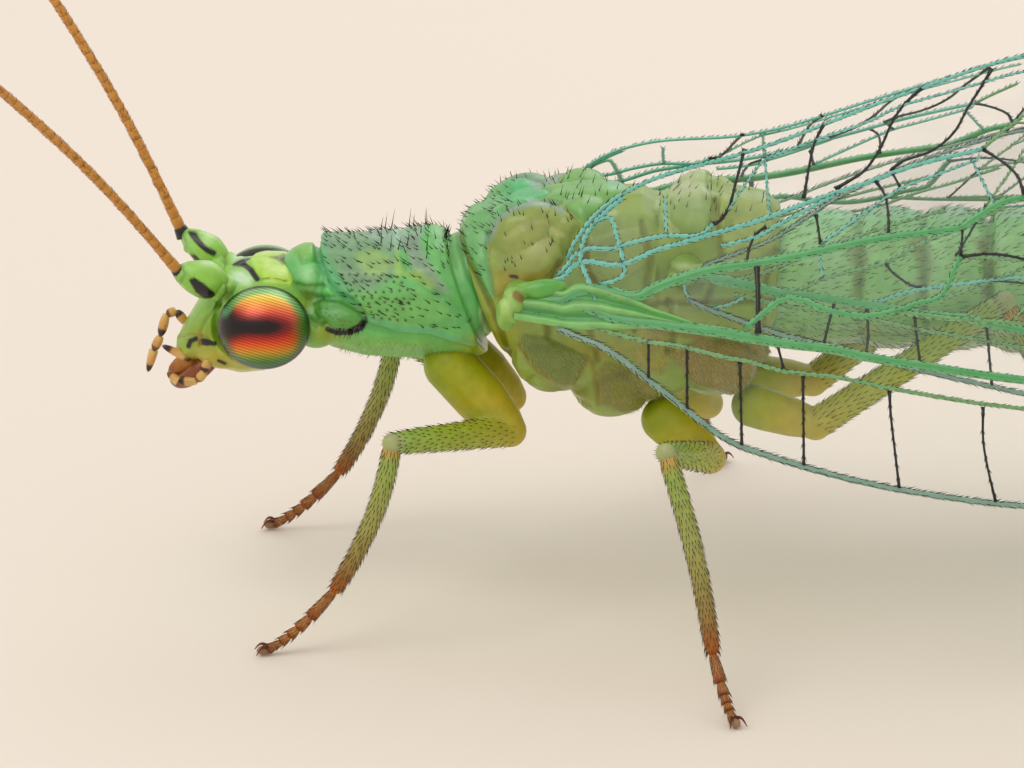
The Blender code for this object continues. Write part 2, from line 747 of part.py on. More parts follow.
def crossvein(name, point, places, on_edge):
    """A short bar laid in the membrane between two places, of which either may be on the wing's
    thin edge. It stands proud of the outer face, and its roots lie deep in the two veins."""
    corners = []
    ends = [point(*place) for place in places]
    along = (ends[1][0] - ends[0][0]).normalized()
    for (centre, outward), at_edge in zip(ends, on_edge):
        beside = along.cross(outward).normalized() * CROSSVEIN_WIDTH / 2
        top = outward * ((EDGE_THICKNESS if at_edge else MEMBRANE) / 2 + CROSSVEIN_RISE)
        low = outward * -CROSSVEIN_DEPTH
        for across, lift in ((-1, low), (1, low), (1, top), (-1, top)):
            corners.append(centre + beside * across + lift)
    faces = [(0, 1, 2, 3), (4, 7, 6, 5)]
    faces += [(k, k + 4, (k + 1) % 4 + 4, (k + 1) % 4) for k in range(4)]
    return facing_out(mesh_object(name, corners, faces))


def run_on(starts, pace, last):
    """A row of places, continued at an even pace as far as the last one allowed."""
    places = list(starts)
    if isinstance(places[0], tuple):
        while places[-1][1] + pace < last:
            places.append(tuple(place + pace for place in places[-1]))
        return places
    while places[-1] + pace < last:
        places.append(places[-1] + pace)
    return [(place, place) for place in places]


def crossvein_rows(fore):
    """The rows of crossveins of one kind of wing: pairs of places, then what they join."""
    if fore:
        return (
            (run_on(COSTAL_STARTS, COSTAL_PACE, COSTAL_LAST), (EDGE_ROOM, "subcosta")),
            (run_on(HIND_STARTS, HIND_PACE, HIND_LAST), ("cubitus", 1 - EDGE_ROOM)),
        )
    first, last = HINDWING_STARTS
    return ((run_on((first,), HINDWING_PACE, last), ("radius", "cubitus")),)


def build_wing(kind, side):
    """One wing: the ridged membrane with its crossveins, fused into one plate."""
    fore = kind == "forewing"
    point = forewing_point if fore else hindwing_point
    edges = forewing_edges if fore else hindwing_edges
    veins = FOREWING_VEINS if fore else HINDWING_VEINS
    table = FOREWING if fore else HINDWING
    name = f"{kind}_{side}"
    plate = wing_plate(name, point, edges, veins, table[0][0], table[-1][0])
    bars = []
    for places, joined in crossvein_rows(fore):
        for pair in places:
            ends = []
            for along, share in zip(pair, joined):
                low, high = edges(along)
                share = smooth_value(veins[share], along) if isinstance(share, str) else share
                ends.append((along, low + (high - low) * share))
            on_edge = [not isinstance(share, str) for share in joined]
            bars.append(crossvein(f"bar_{len(bars)}", point, ends, on_edge))
    combine(plate, bars, "UNION", "MANIFOLD")
    if side == "right":
        plate.data.transform(Matrix.Scale(-1, 4, (1, 0, 0)))
        facing_out(plate)
    return finish(plate, "wing_green", sharp_degrees=25)


def settle_on_origin():
    """Hangs every piece from one empty, moved so that the origin is on the floor, under the
    middle of the insect's bounding box."""
    corners = []
    for obj in INSECT.objects:
        corners += [vertex.co for vertex in obj.data.vertices]
    middle = [
        (min(c[axis] for c in corners) + max(c[axis] for c in corners)) / 2 for axis in (0, 1)
    ]
    holder = bpy.data.objects.new("lacewing_origin", None)
    pieces = list(INSECT.objects)
    INSECT.objects.link(holder)
    holder.location = (-middle[0], -middle[1], 0.0)
    for obj in pieces:
        obj.parent = holder


def build_lacewing():
    """Every part of the insect, in the order head, thorax, abdomen, legs and wings."""
    build_head()
    build_mouth()
    build_neck()
    build_prothorax()
    build_segment("mesothorax", MESOTHORAX_SECTIONS, MESOTHORAX_LOBES)
    build_segment("metathorax", METATHORAX_SECTIONS, METATHORAX_LOBES)
    build_abdomen()
    for side in ("left", "right"):
        build_eye(side)
        build_antenna(side)
        for which in LEGS:
            build_leg(which, side)
        for kind in ("forewing", "hindwing"):
            build_wing(kind, side)
    settle_on_origin()


for old in list(bpy.data.objects):
    bpy.data.objects.remove(old)
INSECT = bpy.data.collections.new("green_lacewing")
bpy.context.scene.collection.children.link(INSECT)
build_lacewing()
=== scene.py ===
# %% [markdown]
# # A green lacewing for a close look
# The frame holds the insect's solids at life size: about 15 mm of wing and 2 mm of head. This
# lesson dresses them. Every skin, eye, wing and bristle is shaped in millimetres, counted from the
# point on the floor under the middle of the eyes, and is made life-size only when it is finished,
# because Blender's tools behave better on shapes that are a few units long.

import math

import bmesh
import bpy
import numpy as np
from mathutils import Matrix, Vector


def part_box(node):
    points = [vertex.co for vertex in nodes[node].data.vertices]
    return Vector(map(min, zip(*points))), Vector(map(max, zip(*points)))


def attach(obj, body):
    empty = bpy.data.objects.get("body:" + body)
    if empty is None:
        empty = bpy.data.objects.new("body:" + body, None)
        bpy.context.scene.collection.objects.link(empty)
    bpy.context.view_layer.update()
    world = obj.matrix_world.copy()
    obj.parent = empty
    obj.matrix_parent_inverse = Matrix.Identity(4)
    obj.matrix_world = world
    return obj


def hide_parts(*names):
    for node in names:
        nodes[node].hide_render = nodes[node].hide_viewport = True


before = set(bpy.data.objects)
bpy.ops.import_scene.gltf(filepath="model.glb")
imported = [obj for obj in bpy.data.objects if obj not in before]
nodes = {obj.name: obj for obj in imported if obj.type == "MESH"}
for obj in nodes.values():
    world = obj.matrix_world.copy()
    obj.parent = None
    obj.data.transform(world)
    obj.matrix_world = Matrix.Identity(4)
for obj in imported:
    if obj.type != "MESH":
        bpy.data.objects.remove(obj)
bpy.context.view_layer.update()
MM = 0.001
SIDES = ("left", "right")
eye_middles = [sum(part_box(f"eye_{side}"), Vector()) / 2 for side in SIDES]
ORIGIN = sum(eye_middles, Vector()) / 2
ORIGIN.z = 0.0
print("eyes' plane at", [round(v / MM, 3) for v in ORIGIN], "mm")

# %% [markdown]
# ## The view
# The photograph was taken from the insect's left, looking down by about 20 degrees, from far
# enough that nothing looks larger for being nearer. At this distance 100 pixels are 1 mm.

# %% Camera
LOOK_DOWN = math.radians(20)
BACK = Vector((math.cos(LOOK_DOWN), 0, math.sin(LOOK_DOWN)))
UP = Vector((-math.sin(LOOK_DOWN), 0, math.cos(LOOK_DOWN)))
RIGHT = UP.cross(BACK)
AIM = Vector((0.66, 2.48, 2.475))
DISTANCE = 120.0
PICTURE = (1024, 768)
PIXELS = 100.0

lens = bpy.data.cameras.new("camera")
camera = bpy.data.objects.new("camera", lens)
bpy.context.scene.collection.objects.link(camera)
turn = Matrix((RIGHT, UP, BACK)).transposed().to_4x4()
camera.matrix_world = Matrix.Translation((AIM + BACK * DISTANCE) * MM + ORIGIN) @ turn
lens.sensor_width = 36
lens.lens = 36 * DISTANCE * PIXELS / PICTURE[0]
lens.clip_start = 0.001
lens.clip_end = 10
bpy.context.scene.camera = camera
print("lens", round(lens.lens, 1), "mm")


# %% Where a point shows
def in_picture(points):
    """Where points show in the photograph, in its pixels. The insect's far side is read at its
    mirror image, so that both sides are marked alike."""
    folded = np.array(points, float)
    folded[:, 0] = np.abs(folded[:, 0])
    offset = folded - np.array(AIM)
    grow = PIXELS * DISTANCE / (DISTANCE - offset @ np.array(BACK))
    across = PICTURE[0] / 2 + offset @ np.array(RIGHT) * grow
    down = PICTURE[1] / 2 - offset @ np.array(UP) * grow
    return np.column_stack((across, down))


# %% [markdown]
# ## Light and floor
# A wide soft light hangs over the insect and a paler one fills in from the front, as in a small
# light tent. The floor is plain and pale, and reaches far past the edges of the view.

# %% Floor and lights
def linear(colour):
    """An sRGB hex colour as linear red, green and blue."""
    parts = [int(colour[k:k + 2], 16) / 255 for k in (1, 3, 5)]
    return [p / 12.92 if p <= 0.04045 else ((p + 0.055) / 1.055) ** 2.4 for p in parts]


def add_node(tree, kind, links=(), **settings):
    """Adds a node. Settings are its properties or the values of its sockets, and links are
    (output, input name) pairs."""
    node = tree.nodes.new(kind)
    for name, value in settings.items():
        if hasattr(node, name):
            setattr(node, name, value)
    for name, value in settings.items():
        if not hasattr(node, name):
            key = int(name[1:]) if name[0] == "s" and name[1:].isdigit() else name.replace("_", " ")
            node.inputs[key].default_value = value
    for output, name in links:
        tree.links.new(output, node.inputs[name])
    return node


def new_material(name):
    """A material with its nodes, its shader and its node tree."""
    material = bpy.data.materials.new(name)
    material.use_nodes = True
    tree = material.node_tree
    return material, tree, tree.nodes["Principled BSDF"]


def area_light(name, place, aim, size, power, colour):
    """A square soft light, placed and aimed in millimetres."""
    light = bpy.data.lights.new(name, "AREA")
    light.size = size * MM
    light.energy = power
    light.color = linear(colour)
    lamp = bpy.data.objects.new(name, light)
    bpy.context.scene.collection.objects.link(lamp)
    lamp.location = Vector(place) * MM + ORIGIN
    lamp.rotation_euler = (Vector(place) - Vector(aim)).to_track_quat("Z", "Y").to_euler()
    return lamp


bpy.ops.mesh.primitive_plane_add(size=4.0, location=(0, 0, 0))
floor = bpy.context.object
floor.name = "floor"
paper, _, paper_shader = new_material("pale_matt_board")
paper_shader.inputs["Base Color"].default_value = (*linear("#f2e9df"), 1)
paper_shader.inputs["Roughness"].default_value = 0.9
floor.data.materials.append(paper)

room = bpy.data.worlds.new("light_tent")
bpy.context.scene.world = room
room.use_nodes = True
room.node_tree.nodes["Background"].inputs["Color"].default_value = (*linear("#fff8f0"), 1)
room.node_tree.nodes["Background"].inputs["Strength"].default_value = 0.75
area_light("key_light", (30, -25, 70), (0, 3, 2), 50, 0.016, "#fffaf2")
area_light("back_light", (-50, 30, 45), (0, 3, 3), 50, 0.009, "#f4f8ff")
bpy.context.scene.view_settings.view_transform = "Standard"
print("two lights and a floor")


# %% [markdown]
# ## Tools for shaping
# A skin starts from copies of the frame's solids, with more lobes set into them. Voxel remeshing
# fuses them, as a modeller fuses clay, and smoothing takes the flats off. Grooves and swellings
# are then pressed in where the photograph shows them.

# %% Shaping helpers
def only(piece):
    """Makes one object the only one selected."""
    bpy.ops.object.select_all(action="DESELECT")
    piece.select_set(True)
    bpy.context.view_layer.objects.active = piece
    return piece


def use_modifier(piece, kind, **settings):
    """Adds a modifier and applies it."""
    only(piece)
    modifier = piece.modifiers.new(kind.lower(), kind)
    for name, value in settings.items():
        setattr(modifier, name, value)
    bpy.ops.object.modifier_apply(modifier=modifier.name)


def copy_solids(name, names):
    """A copy of some of the frame's solids in millimetres, with their doubles merged."""
    shell = bmesh.new()
    for node in names:
        shell.from_mesh(nodes[node].data)
    shell.transform(Matrix.Scale(1 / MM, 4) @ Matrix.Translation(-ORIGIN))
    bmesh.ops.remove_doubles(shell, verts=shell.verts, dist=1e-3)
    mesh = bpy.data.meshes.new(name)
    shell.to_mesh(mesh)
    shell.free()
    piece = bpy.data.objects.new(name, mesh)
    bpy.context.scene.collection.objects.link(piece)
    return piece


def egg(centre, semi_axes, pitch=0.0):
    """An egg-shaped lobe, pitched up at its front by some degrees."""
    bpy.ops.mesh.primitive_uv_sphere_add(segments=48, ring_count=24, radius=1.0)
    lobe = bpy.context.object
    tip = Matrix.Rotation(math.radians(-pitch), 4, "X")
    stretch = Matrix.Diagonal((*semi_axes, 1.0))
    lobe.data.transform(Matrix.Translation(centre) @ tip @ stretch)
    return lobe


def eggs(rows):
    """Lobes on both sides of the body, or one on the middle plane where it isn't to the side."""
    lobes = []
    for (out, along, height), semi_axes, pitch in rows:
        for sign in (1, -1) if out > 0.01 else (1,):
            lobes.append(egg((out * sign, along, height), semi_axes, pitch))
    return lobes


def fuse(piece, lobes, voxel, rounds):
    """Fuses lobes into a piece and smooths it."""
    only(piece)
    for lobe in lobes:
        lobe.select_set(True)
    bpy.ops.object.join()
    use_modifier(piece, "REMESH", mode="VOXEL", voxel_size=voxel, use_smooth_shade=True)
    use_modifier(piece, "SMOOTH", factor=0.5, iterations=rounds)
    return piece


def vertex_arrays(piece):
    """A piece's points and their normals."""
    mesh = piece.data
    points = np.empty(len(mesh.vertices) * 3)
    mesh.vertices.foreach_get("co", points)
    normals = np.empty(len(mesh.vertices) * 3)
    mesh.vertex_normals.foreach_get("vector", normals)
    return points.reshape(-1, 3), normals.reshape(-1, 3)


def off_line(places, line):
    """How far places in the picture lie from a line through several points."""
    line = np.array(line, float)
    if len(line) == 1:
        return np.hypot(*(places - line[0]).T)
    best = np.full(len(places), 1e9)
    for start, end in zip(line, line[1:]):
        step = end - start
        share = np.clip((places - start) @ step / max(step @ step, 1e-9), 0, 1)
        best = np.minimum(best, np.hypot(*(places - start - share[:, None] * step).T))
    return best


def facing(normals):
    """1 where the surface faces the photograph's view, on either side of the body, else 0."""
    folded = np.abs(normals[:, 0]) * BACK.x + normals[:, 2] * BACK.z
    return np.clip((folded + 0.2) / 0.35, 0, 1)


def into_outline(places, outline):
    """How far places in the picture lie inside an outline. Outside it the distance is negative."""
    across, down = places.T
    within = np.zeros(len(places), bool)
    for (u0, v0), (u1, v1) in zip(outline, (*outline[1:], outline[0])):
        crossed = (v0 > down) != (v1 > down)
        rise = v1 - v0 if v1 != v0 else 1e-9
        within ^= crossed & (across < u0 + (down - v0) * (u1 - u0) / rise)
    distance = off_line(places, (*outline, outline[0]))
    return np.where(within, distance, -distance)


def ease(share):
    """A share held between 0 and 1 that starts and stops softly."""
    share = np.clip(share, 0, 1)
    return share * share * (3 - 2 * share)


def move_to(piece, points):
    """Puts a piece's vertices at new points."""
    piece.data.vertices.foreach_set("co", points.ravel())
    piece.data.update()


def press(piece, strokes=(), cushions=()):
    """Raises or sinks a skin: strokes are (height in mm, half width in pixels, line), and cushions
    are (height in mm, width of the rounded edge in pixels, outline)."""
    points, normals = vertex_arrays(piece)
    places, seen = in_picture(points), facing(normals)
    lift = np.zeros(len(points))
    for height, half_width, *line in strokes:
        lift += height * np.exp(-(off_line(places, line) / half_width) ** 2) * seen
    for height, edge, *outline in cushions:
        depth = np.clip(into_outline(places, outline) / edge, 0, 1)
        lift += height * np.sqrt(1 - (1 - depth) ** 2) * seen
    move_to(piece, points + normals * lift[:, None])


def paint(piece, ground, washes=(), patches=(), strokes=()):
    """Colours a skin: first broad washes, each (colour, strength, middle, reach), then patches,
    each (colour, strength, blur, outline), then strokes, each (colour, strength, half width, blur,
    line). All places and widths are pixels of the photograph."""
    points, normals = vertex_arrays(piece)
    places, seen = in_picture(points), facing(normals)
    tint = np.tile(linear(ground), (len(points), 1))
    for colour, strength, (u, v), (wide, high) in washes:
        off = ((places[:, 0] - u) / wide) ** 2 + ((places[:, 1] - v) / high) ** 2
        tint += (np.array(linear(colour)) - tint) * (strength * np.exp(-off))[:, None]
    for colour, strength, blur, *outline in patches:
        share = strength * ease(into_outline(places, outline) / blur + 0.5) * seen
        tint += (np.array(linear(colour)) - tint) * share[:, None]
    for colour, strength, half_width, blur, *line in strokes:
        share = strength * ease(1 - (off_line(places, line) - half_width) / blur) * seen
        tint += (np.array(linear(colour)) - tint) * share[:, None]
    give_tint(piece.data, tint)


def give_tint(mesh, tint):
    """Stores a colour for each point."""
    layer = mesh.color_attributes.new("tint", "FLOAT_COLOR", "POINT")
    layer.data.foreach_set("color", np.column_stack((tint, np.ones(len(tint)))).ravel())


def settle(piece, material, replaced=()):
    """Makes a finished piece life-size, puts it in its place and tells the frame about it."""
    piece.data.transform(Matrix.Translation(ORIGIN) @ Matrix.Scale(MM, 4))
    piece.data.materials.clear()
    piece.data.materials.append(material)
    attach(piece, "root")
    if replaced:
        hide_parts(*replaced)
    print(piece.name, len(piece.data.polygons), "faces")
    return piece


# %% [markdown]
# ## Tools for fine parts
# Veins, feelers and bristles are too fine to model by hand one by one. A rod is a row of rings
# along a path, and a bristle is a thin three-sided spike. Thousands of them are written into one
# mesh at once.

# %% Rods and bundles
def rod(path, radii, sides=8, flatten=1.0, out=None):
    """A closed round rod along a path, as points and triangles. Its first row of points looks
    along out, and it may be flattened in that direction."""
    path = np.asarray(path, float)
    radii = np.broadcast_to(radii, len(path))
    heading = np.gradient(path, axis=0)
    heading /= np.maximum(np.linalg.norm(heading, axis=1), 1e-9)[:, None]
    seed = np.array((0, 0, 1.0)) if abs(heading[0][2]) < 0.9 else np.array((0, 1.0, 0))
    across = []
    for k, step in enumerate(heading):
        seed = seed if out is None else out[k]
        seed = seed - step * (seed @ step)
        seed /= np.linalg.norm(seed)
        across.append(seed)
    across = np.array(across)
    other = np.cross(heading, across)
    angle = 2 * np.pi * np.arange(sides) / sides
    rings = (
        np.cos(angle)[None, :, None] * across[:, None] * flatten
        + np.sin(angle)[None, :, None] * other[:, None]
    )
    points = (path[:, None] + rings * radii[:, None, None]).reshape(-1, 3)
    count = len(path)
    row = np.arange(count - 1)[:, None] * sides
    a = row + np.arange(sides)
    b = row + (np.arange(sides) + 1) % sides
    faces = [np.stack((a, b, b + sides), 2), np.stack((a, b + sides, a + sides), 2)]
    faces = [part.reshape(-1, 3) for part in faces]
    points = np.vstack((points, path[0], path[-1]))
    k, n = np.arange(sides), (np.arange(sides) + 1) % sides
    first, last = count * sides, count * sides + 1
    end = (count - 1) * sides
    faces.append(np.column_stack((n, k, np.full(sides, first))))
    faces.append(np.column_stack((end + k, end + n, np.full(sides, last))))
    return points, np.vstack(faces)


class Bundle:
    """Many small closed shapes that become one piece."""

    def __init__(self):
        self.points, self.faces, self.tints, self.maps = [], [], [], []
        self.count = 0

    def add(self, points, faces, tint, place=None):
        self.points.append(points)
        self.faces.append(faces + self.count)
        self.tints.append(np.broadcast_to(tint, (len(points), 3)))
        if place is not None:
            self.maps.append(place)
        self.count += len(points)

    def mirrored(self):
        """The same bundle on the body's other side."""
        twin = Bundle()
        for points, faces, tint in zip(self.points, self.faces, self.tints):
            twin.points.append(points * np.array((-1, 1, 1)))
            twin.faces.append(faces[:, ::-1])
            twin.tints.append(tint)
        twin.maps, twin.count = self.maps, self.count
        return twin

    def piece(self, name, smooth=True):
        points, faces = np.vstack(self.points), np.vstack(self.faces)
        mesh = bpy.data.meshes.new(name)
        mesh.vertices.add(len(points))
        mesh.vertices.foreach_set("co", points.ravel())
        mesh.loops.add(faces.size)
        mesh.loops.foreach_set("vertex_index", faces.ravel())
        mesh.polygons.add(len(faces))
        mesh.polygons.foreach_set("loop_start", np.arange(len(faces)) * 3)
        mesh.update(calc_edges=True)
        mesh.polygons.foreach_set("use_smooth", np.full(len(faces), smooth))
        give_tint(mesh, np.vstack(self.tints))
        if self.maps:
            layer = mesh.uv_layers.new(name="OFBake")
            layer.data.foreach_set("uv", np.vstack(self.maps)[faces.ravel()].ravel())
        made = bpy.data.objects.new(name, mesh)
        bpy.context.scene.collection.objects.link(made)
        return made


PATCH = 0.0015


def bristles(bundle, roots, aims, lengths, widths, tint, places):
    """Adds bristles: three-sided straight spikes that point where they aim. Each has a
    patch of the map round the place of its root on the skin."""
    count = len(roots)
    aims = aims / np.linalg.norm(aims, axis=1)[:, None]
    helper = np.where(np.abs(aims[:, 2:]) < 0.9, (0, 0, 1.0), (0, 1.0, 0))
    across = np.cross(aims, helper)
    across /= np.linalg.norm(across, axis=1)[:, None]
    other = np.cross(aims, across)
    lengths = np.broadcast_to(lengths, count)[:, None]
    widths = np.broadcast_to(widths, count)[:, None]
    points, maps = [], []
    for k in range(3):
        angle = 2 * np.pi * k / 3
        ring = across * math.cos(angle) + other * math.sin(angle)
        points.append(roots - aims * widths + ring * widths)
        maps.append(places + PATCH * np.array((math.cos(angle), math.sin(angle))))
    points.append(roots + aims * lengths)
    maps.append(places)
    points = np.stack(points, 1).reshape(-1, 3)
    maps = np.stack(maps, 1).reshape(-1, 2)
    shape = np.array(((0, 1, 3), (1, 2, 3), (2, 0, 3), (0, 2, 1)))
    faces = (np.arange(count)[:, None, None] * 4 + shape).reshape(-1, 3)
    tint = np.repeat(np.broadcast_to(tint, (count, 3)), 4, 0)
    bundle.add(points, faces, tint, maps)


def scatter(piece, outline, spacing):
    """Places for bristles on a skin, inside an outline in the picture, about evenly spaced."""
    points, normals = vertex_arrays(piece)
    good = into_outline(in_picture(points), outline) > 0
    good &= facing(normals) > 0.5
    order = chance.permutation(np.flatnonzero(good))
    cells = np.floor(points[order] / spacing).astype(int)
    _, first = np.unique(cells, axis=0, return_index=True)
    chosen = order[first]
    return points[chosen], normals[chosen]


def skin_places(points, middle, start, reach):
    """Where points of a skin lie on its own unwrapping round the body's length."""
    turn = np.arctan2(points[:, 0], points[:, 2] - middle) / (2 * np.pi) + 0.5
    return np.column_stack(((points[:, 1] - start) / reach, turn))


def body_bristles(coat, piece, outline, spacing, sweep, stand, length, width, colour):
    """Bristles inside an outline that sweep in one direction, alike on both sides, and stand off
    the skin by some share."""
    roots, normals = scatter(piece, outline, spacing)
    side = np.where(roots[:, :1] < 0, -1.0, 1.0)
    sweep = np.tile(np.array(sweep, float), (len(roots), 1))
    sweep[:, :1] *= side
    sweep += chance.normal(0, 0.12, sweep.shape)
    sweep -= normals * np.sum(sweep * normals, 1)[:, None]
    bristles(
        coat, roots, sweep + normals * stand, length * chance.uniform(0.75, 1.25, len(roots)),
        width, linear(colour), skin_places(roots, 3.2, -1.0, 12.5),
    )


chance = np.random.default_rng(7)
print("tools ready")


# %% [markdown]
# ## Cuticle
# The insect's shell is thin, waxy and a little see-through. Light enters it and comes out
# green, so it gets some subsurface scattering, a soft wax gloss, and a fine grain of pits. The
# wax mirrors a little white from the room over every colour, and that share is taken off the
# tint first, or else the greens look chalky.

# %% Shell materials
SHEEN = 0.022
DARKEST = 0.002


def grain(size):
    """The noise scale whose bumps are about this many millimetres across."""
    return 1 / (size * MM)


def shell_material(
    name, scatter_share, roughness, mottle=0.10, pits=0.003, glow=(0.7, 1.0, 0.4), wax=0.4,
):
    """Waxy insect cuticle. Its colour comes from the piece's own tint."""
    material, tree, shader = new_material(name)
    space = add_node(tree, "ShaderNodeTexCoord").outputs["Object"]
    tint = add_node(tree, "ShaderNodeAttribute", attribute_name="tint").outputs["Color"]
    cloud = add_node(tree, "ShaderNodeTexNoise", [(space, "Vector")], Scale=grain(0.12), Detail=4.0)
    fleck = add_node(
        tree, "ShaderNodeTexNoise", [(space, "Vector")], Scale=grain(0.022), Detail=2.0
    )
    shift = add_node(
        tree, "ShaderNodeMapRange", [(cloud.outputs["Fac"], "Value")],
        From_Min=0.3, From_Max=0.7, To_Min=1 - mottle, To_Max=1 + mottle,
    )
    bare = add_node(
        tree, "ShaderNodeVectorMath", [(tint, 0)], operation="SUBTRACT", s1=(SHEEN,) * 3
    )
    held = add_node(
        tree, "ShaderNodeVectorMath", [(bare.outputs["Vector"], 0)],
        operation="MAXIMUM", s1=(DARKEST,) * 3,
    )
    shade = add_node(
        tree, "ShaderNodeVectorMath", [(held.outputs["Vector"], 0)], operation="SCALE"
    )
    tree.links.new(shift.outputs["Result"], shade.inputs["Scale"])
    tree.links.new(shade.outputs["Vector"], shader.inputs["Base Color"])
    gloss = add_node(
        tree, "ShaderNodeMapRange", [(fleck.outputs["Fac"], "Value")],
        From_Min=0.3, From_Max=0.7, To_Min=roughness - 0.06, To_Max=roughness + 0.1,
    )
    tree.links.new(gloss.outputs["Result"], shader.inputs["Roughness"])
    bump = add_node(
        tree, "ShaderNodeBump", [(fleck.outputs["Fac"], "Height")], Strength=0.5, Distance=pits * MM
    )
    tree.links.new(bump.outputs["Normal"], shader.inputs["Normal"])
    shader.inputs["Subsurface Weight"].default_value = scatter_share
    shader.inputs["Subsurface Radius"].default_value = glow
    shader.inputs["Subsurface Scale"].default_value = 0.16 * MM
    shader.inputs["IOR"].default_value = 1.45
    shader.inputs["Coat Weight"].default_value = wax
    shader.inputs["Coat Roughness"].default_value = 0.16
    return material


green_shell = shell_material("waxy_green_cuticle", 0.5, 0.36)
limb_shell = shell_material("olive_limb_cuticle", 0.35, 0.42, glow=(1.0, 0.9, 0.4), wax=0.1)
horn_shell = shell_material("amber_horn_cuticle", 0.35, 0.34, glow=(1.0, 0.6, 0.2))
bristle_shell = shell_material("dark_bristle_cuticle", 0.0, 0.4, wax=0.0)
vein_shell = shell_material("green_vein_cuticle", 0.25, 0.34, glow=(0.6, 1.0, 0.8))
print("shell materials")

# %% [markdown]
# ## Head
# The head is a small green capsule between two great eyes. Its crown has a shiny pale cushion on
# either side of a green ridge, the feelers stand on round sockets in front of it, and a yellowish
# face runs down to the mouth. The socket that the frame cuts for each eye is filled up to the
# eye's own edge, so that no gap shows beside it.

# %% Head skin
EYE_HEIGHT = 3.06
HEAD_LOBES = (
    ((0.30, 0.02, 3.06), (0.33, 0.50, 0.46), 0),
    ((0.0, 0.02, 3.38), (0.40, 0.40, 0.25), 0),
    ((0.34, -0.44, 3.42), (0.18, 0.17, 0.19), 0),
    ((0.22, -0.44, 2.68), (0.18, 0.28, 0.19), 12),
)
CROWN_HEIGHT = 3.43
CROWN_FLATTENING = 0.42
CUSHION = ((249, 257), (263, 255), (278, 259), (287, 265), (297, 268), (299, 276), (291, 286),
           (276, 285), (263, 282), (256, 273), (251, 265))
head = copy_solids("head_skin", ["head"])
fuse(head, eggs(HEAD_LOBES), 0.013, 9)
crown, _ = vertex_arrays(head)
crown[:, 2] -= CROWN_FLATTENING * np.clip(crown[:, 2] - CROWN_HEIGHT, 0, None)
move_to(head, crown)
press(
    head,
    strokes=(
        (-0.030, 2.0, (220, 264), (227, 281), (228, 294), (218, 305)),
        (-0.022, 1.6, (218, 305), (206, 318), (200, 330), (199, 346)),
        (-0.020, 2.0, (229, 262), (245, 264), (256, 279)),
        (-0.022, 2.0, (176, 337), (190, 334), (206, 338), (216, 350)),
        (0.018, 4.0, (238, 276)),
    ),
    cushions=(
        (0.035, 6, *CUSHION),
        (0.006, 6, (251, 253), (234, 252), (247, 244), (273, 243), (292, 248), (300, 254),
         (290, 262), (278, 256)),
    ),
)
paint(
    head, "#8cca52",
    washes=(
        ("#8fbf4c", 0.8, (205, 318), (22, 16)),
        ("#8f9a2c", 0.85, (200, 338), (26, 16)),
        ("#c4b44e", 0.8, (206, 358), (30, 12)),
        ("#c2c026", 0.9, (240, 370), (26, 11)),
        # Painted highlight: this pale mint wash above the eye stands in for the shine there.
        ("#aadf8a", 0.6, (240, 280), (15, 12)),
        ("#96cc58", 0.7, (222, 290), (12, 20)),
        ("#7cc070", 0.6, (300, 280), (10, 26)),
        ("#b9c83c", 0.6, (304, 320), (12, 24)),
    ),
    patches=(
        ("#5faa30", 0.9, 4, (226, 256), (238, 248), (247, 243), (273, 242), (292, 247), (300, 254),
         (292, 262), (278, 257), (251, 254), (240, 262)),
        ("#b6e25c", 0.95, 4, *CUSHION),
        # Painted highlights: the next two pale patches are glints of light on the crown cushion and
        # above the eye.
        ("#d2ee92", 0.8, 8, (262, 259), (277, 263), (288, 271), (280, 277), (264, 268)),
        ("#d8f0d4", 0.8, 8, (232, 272), (243, 271), (252, 279), (250, 285), (236, 283)),
        ("#b0a838", 0.8, 6, (214, 350), (240, 362), (254, 372), (240, 380), (212, 374), (205, 362)),
    ),
    strokes=(
        ("#2a0e06", 1.0, 2.2, 1.8, (234, 263), (243, 264)),
        ("#2a0e06", 1.0, 1.8, 1.8, (243, 264), (251, 270), (257, 279)),
        ("#2c2412", 0.95, 0.9, 1.6, (251, 254), (262, 253), (272, 255)),
        ("#5a3a1a", 0.75, 1.8, 3.0, (271, 254), (279, 257), (284, 261)),
        ("#120a05", 1.0, 1.6, 1.6, (188.6, 346), (190.5, 341), (196.4, 338.6)),
        ("#120a05", 1.0, 2.6, 1.6, (201.5, 341.5), (208, 342.5)),
        ("#120a05", 1.0, 1.6, 1.4, (208, 342.5), (214.6, 343.6)),
        ("#1a1408", 0.95, 0.9, 1.4, (218.5, 360.6), (225, 363.5)),
        ("#86924a", 0.55, 0.8, 1.6, (220, 264), (227, 281), (228, 294), (218, 305)),
        ("#b08a3a", 0.7, 0.8, 1.6, (199, 331), (200, 346)),
        ("#86924a", 0.4, 0.8, 1.6, (218, 305), (206, 318), (200, 330)),
    ),
)
settle(head, green_shell, ["head"])


# %% [markdown]
# ## Eyes
# Hundreds of facets bend light like a thin film, so a living lacewing's eye shines gold and red
# round a dark middle, with a green rim. The rows of facets show as fine slanting lines. Such
# colour comes from the surface and not from a pigment, so the finish is partly metallic. The
# colours are laid in bands round the direction in which each eye looks out, and a second
# attribute counts the rows of facets across it.

# %% Eye material
FACET_ROW = 0.027


